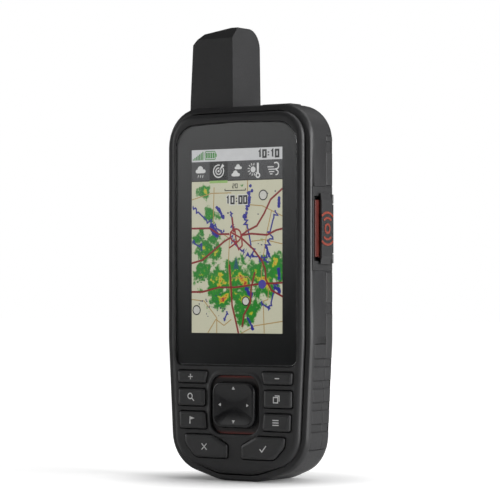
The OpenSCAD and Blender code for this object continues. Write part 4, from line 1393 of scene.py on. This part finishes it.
MAIN_ROADS = [
    [(1.0, 0.94), (0.87, 0.87), (0.80, 0.78), (0.72, 0.70), (0.62, 0.67), (0.55, 0.64)],
    [(0.0, 0.69), (0.20, 0.69), (0.30, 0.65), (0.42, 0.65)],
    [(0.0, 0.46), (0.12, 0.48), (0.26, 0.55), (0.36, 0.60), (0.44, 0.63)],
    [(0.54, 0.63), (0.68, 0.55), (0.78, 0.47), (0.81, 0.42), (0.82, 0.35), (0.88, 0.28), (1.0, 0.24)],
    [(0.0, 0.27), (0.12, 0.27), (0.30, 0.30), (0.48, 0.30), (0.72, 0.32), (1.0, 0.33)],
    [(0.42, 0.45), (0.44, 0.30), (0.45, 0.18), (0.49, 0.08), (0.52, 0.0)],
    [(0.70, 0.40), (0.66, 0.30), (0.65, 0.20), (0.58, 0.12), (0.56, 0.04)],
    [(1.0, 0.68), (0.93, 0.67), (0.83, 0.64), (0.66, 0.65), (0.55, 0.64)],
    [(0.45, 0.76), (0.46, 0.70), (0.47, 0.66)],
]
HUB = (0.49, 0.64)
RIVERS = [
    ((0.0, 0.84), (0.24, 0.70), 0.03, 3),
    ((0.24, 0.70), (0.36, 0.66), 0.02, 5),
    ((0.60, 0.76), (0.68, 0.50), 0.03, 7),
    ((0.92, 0.80), (0.84, 0.60), 0.04, 11),
    ((0.84, 0.60), (0.82, 0.46), 0.035, 13),
    ((0.42, 0.62), (0.62, 0.50), 0.035, 17),
    ((0.62, 0.50), (0.78, 0.50), 0.03, 19),
    ((0.93, 0.34), (0.86, 0.16), 0.02, 23),
    ((0.86, 0.16), (0.76, 0.20), 0.015, 29),
    ((0.44, 0.80), (0.46, 0.68), 0.015, 31),
    ((0.0, 0.60), (0.12, 0.56), 0.02, 37),
    ((0.40, 0.14), (0.36, 0.08), 0.01, 41),
]
LAKES = [
    ((0.66, 0.96), (0.60, 0.76), 0.030, 43, 0.045),
    ((0.28, 0.83), (0.36, 0.76), 0.015, 47, 0.035),
    ((0.22, 0.70), (0.28, 0.64), 0.012, 53, 0.055),
    ((0.97, 0.88), (0.98, 0.82), 0.012, 59, 0.035),
    ((0.82, 0.56), (0.86, 0.50), 0.015, 61, 0.030),
    ((0.60, 0.29), (0.66, 0.24), 0.012, 67, 0.040),
    ((0.95, 0.42), (0.99, 0.36), 0.010, 71, 0.035),
    ((0.62, 0.10), (0.68, 0.03), 0.012, 73, 0.030),
    ((0.93, 0.30), (0.99, 0.27), 0.010, 79, 0.035),
]


def draw_lines(paths, width):
    def draw(bm, y0, y1):
        for path in paths:
            add_stroke(bm, [on_map(u, v) for u, v in clipped(path)], width, y0, y1)

    return draw


def draw_water(bm, y0, y1):
    for a, b, wiggle, seed in RIVERS:
        path = clipped(wander(a, b, wiggle, seed), 0.01, 0.99, 0.01, 0.99)
        add_stroke(bm, [on_map(u, v) for u, v in path], 0.58, y0, y1)
    for a, b, wiggle, seed, wide in LAKES:
        rng = random.Random(seed)
        spine = wander(a, b, wiggle, seed, 8)
        for u, v in clipped(spine, 0.03, 0.96, 0.03, 0.97):
            size = wide * rng.uniform(0.7, 1.25) * SCREEN_W / 2
            x, z = on_map(u, v)
            limit = SCREEN_W / 2 - 0.1
            shore = []
            for k in range(9):
                a2 = 2 * math.pi * k / 9
                shore_x = x + size * rng.uniform(0.7, 1.2) * math.cos(a2)
                shore_z = z + size * rng.uniform(0.7, 1.2) * math.sin(a2)
                shore.append((max(-limit, min(limit, shore_x)), shore_z))
            add_patch(bm, shore, y0, y1)


picture_piece("map_minor_roads", 1, draw_lines(MINOR_ROADS, 0.34), lit("minor road", (0.42, 0.27, 0.08)))
picture_piece("map_water", 2, draw_water, lit("water", (0.02, 0.02, 0.26)))
picture_piece("map_main_roads", 3, draw_lines(MAIN_ROADS, 0.7), lit("main road", (0.24, 0.01, 0.015)))


def draw_hub(bm, y0, y1):
    x, z = on_map(*HUB)
    add_stroke(bm, circle(x, z, 2.3, 24), 0.62, y0, y1, True)
    add_stroke(bm, [(x - 2.4, z + 1.3), (x + 2.4, z - 1.0)], 0.6, y0, y1)
    add_stroke(bm, [(x - 0.4, z + 2.4), (x + 0.3, z - 2.6), (x - 2.8, z - 4.4)], 0.6, y0, y1)
    add_stroke(bm, [(x + 2.5, z), (x + 2.8, z - 3.6), (x + 1.3, z - 5.0), (x + 0.2, z - 2.6)], 0.6, y0, y1)


picture_piece("map_ring_road", 4, draw_hub, lit("ring road", (0.30, 0.015, 0.02)))


def draw_dark_bar(bm, y0, y1):
    add_patch(bm, rect(SCREEN_W, TAB_H, 0, TAB_Z + TAB_H / 2), y0, y1)


TAB_W = SCREEN_W / 5


def draw_chosen_tab(bm, y0, y1):
    add_patch(bm, rect(TAB_W, TAB_H, LEFT_X + 1.5 * TAB_W, TAB_Z + TAB_H / 2), y0, y1)


def draw_tab_line(bm, y0, y1):
    add_patch(bm, rect(TAB_W, 0.9, LEFT_X + 1.5 * TAB_W, TAB_Z - 0.3), y0, y1)


def draw_tab_edge(bm, y0, y1):
    add_patch(bm, rect(SCREEN_W, 0.35, 0, TAB_Z + 0.1), y0, y1)


def draw_status_bar(bm, y0, y1):
    add_patch(bm, rect(SCREEN_W, BAR_H, 0, BAR_Z + BAR_H / 2), y0, y1)


picture_piece("tab_bar", 1, draw_dark_bar, lit("tab bar", (0.055, 0.055, 0.057)))
picture_piece("tab_edge", 2, draw_tab_edge, lit("tab edge", (0.004, 0.004, 0.004)))
picture_piece("tab_chosen", 2, draw_chosen_tab, lit("chosen tab", (0.002, 0.002, 0.002)))
picture_piece("tab_underline", 5, draw_tab_line, lit("tab underline", (0.30, 0.50, 0.14)))
picture_piece("status_bar", 1, draw_status_bar, lit("status bar", (0.62, 0.62, 0.62), 0.03))


def cloud(bm, x, z, s, y0, y1):
    add_patch(bm, circle(x - 0.1 * s, z + 0.15 * s, 0.8 * s), y0, y1)
    ends = arc(x + 1.0 * s, z - 0.3 * s, 0.45 * s, -90, 90, 8)
    ends += arc(x - 1.0 * s, z - 0.3 * s, 0.45 * s, 90, 270, 8)
    add_patch(bm, ends, y0, y1)


def draw_icons(bm, y0, y1):
    z = TAB_Z + TAB_H / 2
    spots = [LEFT_X + (k + 0.5) * TAB_W for k in range(5)]
    x = spots[0]
    cloud(bm, x, z + 0.6, 1.5, y0, y1)
    for k in range(3):
        add_stroke(bm, [(x - 0.9 + k * 1.0, z - 1.2), (x - 1.2 + k * 1.0, z - 2.1)], 0.28, y0, y1)
    x = spots[1]
    for r in (1.15, 2.2):
        add_stroke(bm, arc(x, z, r, 75, 390, 24), 0.42, y0, y1)
    add_patch(bm, circle(x, z, 0.42), y0, y1)
    add_patch(bm, [(x + 0.2, z + 0.2), (x + 2.5, z + 1.8), (x + 1.7, z + 2.6)], y0, y1)
    x = spots[2]
    cloud(bm, x + 0.7, z + 1.25, 1.05, y0, y1)
    cloud(bm, x - 0.4, z - 1.1, 1.25, y0, y1)
    x = spots[3]
    add_patch(bm, circle(x - 0.8, z + 0.2, 1.05), y0, y1)
    for k in range(3, 12):
        a = 2 * math.pi * k / 12 - 0.2
        ray = [(x - 0.8 + r * math.cos(a), z + 0.2 + r * math.sin(a)) for r in (1.45, 2.3)]
        add_stroke(bm, ray, 0.32, y0, y1)
    add_stroke(bm, [(x + 1.25, z + 2.5), (x + 1.25, z - 1.3)], 0.85, y0, y1)
    add_stroke(bm, circle(x + 1.25, z - 1.9, 0.75, 16), 0.5, y0, y1, True)
    x = spots[4]
    for k, (length, up) in enumerate([(2.1, 0.9), (3.0, 0.05), (2.4, -0.8), (1.6, -1.6)]):
        add_stroke(bm, [(x - 2.5 + 0.35 * k, z + up), (x - 2.5 + length + 0.5, z + up)], 0.36, y0, y1)
    add_stroke(bm, arc(x + 1.1, z + 1.25, 1.15, -100, 130, 12), 0.46, y0, y1)
    add_stroke(bm, arc(x + 1.2, z - 1.1, 0.8, 100, -110, 10), 0.4, y0, y1)


picture_piece("tab_icons", 4, draw_icons, lit("icon", (0.70, 0.70, 0.68), 0.03))


def draw_bars(bm, y0, y1):
    for k in range(7):
        h = 0.5 + 0.42 * k
        add_patch(bm, rect(0.5, h, LEFT_X + 0.7 + k * 0.7, BAR_Z + 0.6 + h / 2), y0, y1)
    z = BAR_Z + BAR_H / 2 + 0.05
    outline = round_rect(4.5, 2.9, 0.5, LEFT_X + 8.1, z, 3)
    add_stroke(bm, outline, 0.3, y0, y1, True)
    add_patch(bm, rect(0.5, 1.2, LEFT_X + 10.7, z), y0, y1)
    for k in range(4):
        add_patch(bm, rect(0.78, 2.0, LEFT_X + 6.6 + k * 1.0, z), y0, y1)


picture_piece("status_bars", 3, draw_bars, lit("signal green", (0.05, 0.24, 0.04), 0.2))


def digit_strokes(mark, x, z, w, h):
    """Stroke paths of one clock digit; only the shapes that a clock or scale needs."""
    a, b, c, d = x, x + w, z, z + h
    m = z + h / 2
    shapes = {
        "0": [([(a, c), (b, c), (b, d), (a, d)], True)],
        "1": [([(x + w * 0.2, d - h * 0.2), (x + w * 0.6, d), (x + w * 0.6, c)], False)],
        "2": [([(a, d), (b, d), (b, m), (a, m), (a, c), (b, c)], False)],
        ":": [
            ([(x + w / 2, m + h * 0.12), (x + w / 2, m + h * 0.3)], False),
            ([(x + w / 2, m - h * 0.3), (x + w / 2, m - h * 0.12)], False),
        ],
    }
    return shapes[mark]


def draw_digits(word, x, z, w, h, gap, stroke):
    def draw(bm, y0, y1):
        at = x
        for mark in word:
            step_w = w * 0.45 if mark == ":" else w
            for path, closed in digit_strokes(mark, at, z, step_w, h):
                add_stroke(bm, path, stroke, y0, y1, closed)
            at += step_w + gap

    return draw


DARK_INK = lit("dark ink", (0.006, 0.006, 0.006))
clock = draw_digits("10:10", LEFT_X + 28.9, BAR_Z + 0.95, 1.2, 2.35, 0.8, 0.7)
picture_piece("clock_digits", 3, clock, DARK_INK)
time_at = (LEFT_X + 15.2, LOW_Z + 0.85 * MAP_H)
PALE_INK = lit("pale ink", (0.70, 0.70, 0.66))
picture_piece("map_time_halo", 6, draw_digits("10:00", *time_at, 1.15, 2.5, 0.85, 1.3), PALE_INK)
picture_piece("map_time", 7, draw_digits("10:00", *time_at, 1.2, 2.5, 0.85, 0.64), DARK_INK)


def draw_scale(bm, y0, y1):
    z = LOW_Z + 0.935 * MAP_H
    x0 = LEFT_X + 14.6
    x1 = LEFT_X + 23.4
    add_stroke(bm, [(x0, z + 0.7), (x0, z), (x1, z), (x1, z + 0.7)], 0.32, y0, y1)
    draw_digits("20", x0 + 3.2, z + 0.9, 0.8, 1.4, 0.5, 0.28)(bm, y0, y1)


picture_piece("map_scale", 6, draw_scale, DARK_INK)


def draw_position(bm, y0, y1):
    x, z = on_map(0.495, 0.455)
    tail = [(x - 1.2, z - 2.2), (x, z - 1.7), (x + 1.2, z - 2.2)]
    nose = [(x + 0.1, z + 2.4), (x - 0.1, z + 2.4)]
    add_patch(bm, tail + nose, y0, y1)


picture_piece("map_position", 7, draw_position, lit("position arrow", (0.01, 0.10, 0.13)))

BADGES = [(0.79, 0.90, 1.9), (0.60, 0.21, 1.7), (0.04, 0.15, 1.8)]


def draw_badges(extra):
    def draw(bm, y0, y1):
        for u, v, r in BADGES:
            x, z = on_map(u, v)
            x = max(LEFT_X + r + 0.4, x)
            add_patch(bm, circle(x, z, r + extra, 24), y0, y1)

    return draw


picture_piece("map_badge_rims", 6, draw_badges(0.0), DARK_INK)
picture_piece("map_badges", 7, draw_badges(-0.4), lit("badge", (0.62, 0.61, 0.55)))


blue_badge = draw_shape(circle(*on_map(0.78, 0.32), 1.6, 24))
picture_piece("map_blue_badge", 7, blue_badge, lit("blue badge", (0.06, 0.05, 0.34)))


# ---------------------------------------------------------------- scattered ponds, by geometry nodes

def scatter_tree():
    """Points spread at random over a rectangle, each with a small flat drop of random size."""
    tree = bpy.data.node_groups.new("scattered_drops", "GeometryNodeTree")
    face = tree.interface
    sockets = {}
    for label, kind, value in (
        ("Width", "NodeSocketFloat", 0.01),
        ("Height", "NodeSocketFloat", 0.01),
        ("Corner", "NodeSocketVector", (0, 0, 0)),
        ("Density", "NodeSocketFloat", 100000.0),
        ("Seed", "NodeSocketInt", 1),
        ("Drop radius", "NodeSocketFloat", 0.0003),
        ("Paint", "NodeSocketMaterial", None),
    ):
        item = face.new_socket(name=label, in_out="INPUT", socket_type=kind)
        if value is not None:
            item.default_value = value
        sockets[label] = item.identifier
    face.new_socket(name="Geometry", in_out="OUTPUT", socket_type="NodeSocketGeometry")
    add = tree.nodes.new
    link_up = tree.links.new
    given = add("NodeGroupInput")
    grid = add("GeometryNodeMeshGrid")
    link_up(given.outputs["Width"], grid.inputs["Size X"])
    link_up(given.outputs["Height"], grid.inputs["Size Y"])
    stand = add("GeometryNodeTransform")
    stand.inputs["Rotation"].default_value = (math.pi / 2, 0, 0)
    link_up(grid.outputs["Mesh"], stand.inputs["Geometry"])
    link_up(given.outputs["Corner"], stand.inputs["Translation"])
    points = add("GeometryNodeDistributePointsOnFaces")
    link_up(stand.outputs["Geometry"], points.inputs["Mesh"])
    link_up(given.outputs["Density"], points.inputs["Density"])
    link_up(given.outputs["Seed"], points.inputs["Seed"])
    drop = add("GeometryNodeMeshCylinder")
    drop.inputs["Vertices"].default_value = 8
    drop.inputs["Depth"].default_value = LAYER * 0.6 * MM
    link_up(given.outputs["Drop radius"], drop.inputs["Radius"])
    lay = add("GeometryNodeTransform")
    lay.inputs["Rotation"].default_value = (math.pi / 2, 0, 0)
    link_up(drop.outputs["Mesh"], lay.inputs["Geometry"])
    size = add("FunctionNodeRandomValue")
    size.data_type = "FLOAT_VECTOR"
    size.inputs["Min"].default_value = (0.45, 1, 0.45)
    size.inputs["Max"].default_value = (1.3, 1, 1.1)
    place = add("GeometryNodeInstanceOnPoints")
    link_up(points.outputs["Points"], place.inputs["Points"])
    link_up(lay.outputs["Geometry"], place.inputs["Instance"])
    link_up(size.outputs["Value"], place.inputs["Scale"])
    real = add("GeometryNodeRealizeInstances")
    link_up(place.outputs["Instances"], real.inputs["Geometry"])
    paint = add("GeometryNodeSetMaterial")
    link_up(real.outputs["Geometry"], paint.inputs["Geometry"])
    link_up(given.outputs["Paint"], paint.inputs["Material"])
    out = add("NodeGroupOutput")
    link_up(paint.outputs["Geometry"], out.inputs["Geometry"])
    return tree, sockets


def scattered(name, across, up, width, height, per_mm2, seed, radius, material, k):
    obj = link(name, bpy.data.meshes.new(name))
    mod = obj.modifiers.new("scatter", "NODES")
    mod.node_group, sockets = SCATTER
    x, z = on_map(across, up)
    values = {
        "Width": width * MM,
        "Height": height * MM,
        "Corner": (x * MM, layer_y(k) * MM, z * MM),
        "Density": per_mm2 * 1e6,
        "Seed": seed,
        "Drop radius": radius * MM,
        "Paint": material,
    }
    for label, value in values.items():
        mod[sockets[label]] = value
    baked(obj)
    return piece(obj, "housing", material)


SCATTER = scatter_tree()
pond = lit("pond", (0.02, 0.02, 0.10))
wood = lit("light rain", (0.07, 0.22, 0.05))
scattered("map_ponds", 0.22, 0.18, 12, 8, 0.22, 4, 0.32, pond, 4)
scattered("map_far_ponds", 0.5, 0.5, 34, 46, 0.012, 9, 0.32, pond, 4)
scattered("map_light_rain", 0.17, 0.48, 9, 16, 0.35, 6, 0.4, wood, 1)


# ---------------------------------------------------------------- floor, lights and camera

def stage_plane(name, size):
    mesh = bpy.data.meshes.new(name)
    s = size / 2
    mesh.from_pydata([(-s, -s, 0), (s, -s, 0), (s, s, 0), (-s, s, 0)], [], [(0, 1, 2, 3)])
    return link(name, mesh)


def floor_with_painted_shadow():
    """White paper with extra light for the camera, rising to full far away, and a painted soft shadow that
    takes some of it away where the body stands.
    """
    n = Nodes("floor paper painted shadow")
    n.shader.inputs["Roughness"].default_value = 0.9
    n.shader.inputs["Specular IOR Level"].default_value = 0
    tone = n.ramp(n.noise(n.coords(), 8, 2), [(0.3, (0.79, 0.79, 0.79)), (0.7, (0.81, 0.81, 0.81))])
    n.link(tone, "Color", n.shader, "Base Color")
    sight = n.add("ShaderNodeLightPath")
    glow = n.add("ShaderNodeEmission")
    where = n.add("ShaderNodeTexCoord")
    reach = n.add("ShaderNodeVectorMath", operation="LENGTH")
    n.link(where, "Object", reach, 0)
    lift = n.mapped(reach, "Value", (0.10, 0.9), (FLOOR_LIFT, 1), smooth=True)
    # painted shadow: the camera glow drops by CONTACT_SHADE round the body's foot
    near = n.mapped(reach, "Value", (0.012, 0.062), (-CONTACT_SHADE, 0), smooth=True)
    total = n.add("ShaderNodeMath", operation="ADD")
    n.link(lift, "Result", total, 0)
    n.link(near, "Result", total, 1)
    gain = n.add("ShaderNodeMath", operation="MULTIPLY")
    n.link(total, "Value", gain, 1)
    n.link(sight, "Is Camera Ray", gain, 0)
    n.link(gain, "Value", glow, "Strength")
    both = n.add("ShaderNodeAddShader")
    n.tree.links.new(n.shader.outputs["BSDF"], both.inputs[0])
    n.tree.links.new(glow.outputs["Emission"], both.inputs[1])
    n.link(both, "Shader", n.out, "Surface")
    return n.material


FLOOR_LIFT = 0.60
CONTACT_SHADE = 0.5
floor = stage_plane("floor", 8)
floor.data.materials.append(floor_with_painted_shadow())


def look_at(obj, target):
    way = Vector(target) - obj.location
    obj.rotation_euler = way.to_track_quat("-Z", "Y").to_euler()


def area(name, place, size, power, height=None):
    """Soft lamp that faces the middle of the body."""
    data = bpy.data.lights.new(name, "AREA")
    data.energy = power
    data.size = size
    if height:
        data.shape = "RECTANGLE"
        data.size_y = height
    lamp = bpy.data.objects.new(name, data)
    scene.collection.objects.link(lamp)
    lamp.location = place
    lamp.visible_camera = False
    look_at(lamp, MIDDLE)


MIDDLE = (0, 0, 0.07)
area("side_soft", (0.85, 0.05, 0.22), 0.6, 13, height=0.8)
area("top_soft", (0.25, 0.35, 1.0), 0.9, 4)
area("left_soft", (-0.85, -0.30, 0.25), 0.30, 1.6, height=0.6)


def reflector():
    """Upright softbox in front: the gloss lens mirrors its fall-off from upper left to lower right."""
    wide = 0.30
    tall = 0.42
    away = 0.62
    low = -0.13
    mesh = bpy.data.meshes.new("softbox")
    out = Vector((-math.sin(AZIMUTH), -math.cos(AZIMUTH), 0))
    aside = Vector((-out.y, out.x, 0))
    middle = out * away
    corners = [
        middle + aside * (wide * i / 2) + Vector((0, 0, low + tall * j))
        for i, j in ((-1, 0), (1, 0), (1, 1), (-1, 1))
    ]
    mesh.from_pydata(corners, [], [(0, 1, 2, 3)])
    obj = link("softbox", mesh)
    n = Nodes("softbox glow")
    where = n.add("ShaderNodeTexCoord")
    along = n.add("ShaderNodeVectorMath", operation="DOT_PRODUCT")
    fall = (aside * SOFTBOX_SIDE + Vector((0, 0, SOFTBOX_UP))).normalized()
    along.inputs[1].default_value = fall
    n.link(where, "Object", along, 0)
    ease = n.mapped(along, "Value", (0, 0.20), (0, SOFTBOX_GLOW), smooth=True)
    glow = n.add("ShaderNodeEmission")
    n.link(ease, "Result", glow, "Strength")
    n.link(glow, "Emission", n.out, "Surface")
    mesh.materials.append(n.material)
    obj.visible_camera = False


SOFTBOX_SIDE = -0.35
SOFTBOX_UP = 1.0
SOFTBOX_GLOW = 0.85

world = bpy.data.worlds.new("studio")
scene.world = world
world.use_nodes = True
tree = world.node_tree
tree.nodes.clear()
sky = tree.nodes.new("ShaderNodeBackground")
dim = tree.nodes.new("ShaderNodeBackground")
sky.inputs["Color"].default_value = (1, 1, 1, 1)
sky.inputs["Strength"].default_value = 1.0
dim.inputs["Color"].default_value = (1, 1, 1, 1)
dim.inputs["Strength"].default_value = 0.085
sight = tree.nodes.new("ShaderNodeLightPath")
choose = tree.nodes.new("ShaderNodeMixShader")
out = tree.nodes.new("ShaderNodeOutputWorld")
tree.links.new(sight.outputs["Is Camera Ray"], choose.inputs[0])
tree.links.new(dim.outputs["Background"], choose.inputs[1])
tree.links.new(sky.outputs["Background"], choose.inputs[2])
tree.links.new(choose.outputs["Shader"], out.inputs["Surface"])

scene.view_settings.view_transform = "Standard"
scene.view_settings.look = "None"

AZIMUTH = math.radians(34.6)
PITCH = math.radians(1.03)
DISTANCE = 846
ASIDE = 4.46
EYE_Z = 66.5
reflector()
right = Vector((math.cos(AZIMUTH), math.sin(AZIMUTH), 0))
ahead = Vector((-math.sin(AZIMUTH), math.cos(AZIMUTH), 0))
camera_data = bpy.data.cameras.new("camera")
camera_data.sensor_width = 36
camera_data.lens = 172.3
camera_data.clip_end = 50
camera = bpy.data.objects.new("camera", camera_data)
scene.collection.objects.link(camera)
spot = Vector((0, lcd_lo.y, 0)) + right * ASIDE - ahead * DISTANCE
camera.location = Vector((spot.x, spot.y, EYE_Z)) * MM
aim = ahead * math.cos(PITCH) + Vector((0, 0, math.sin(PITCH)))
camera.rotation_euler = aim.to_track_quat("-Z", "Y").to_euler()
scene.camera = camera
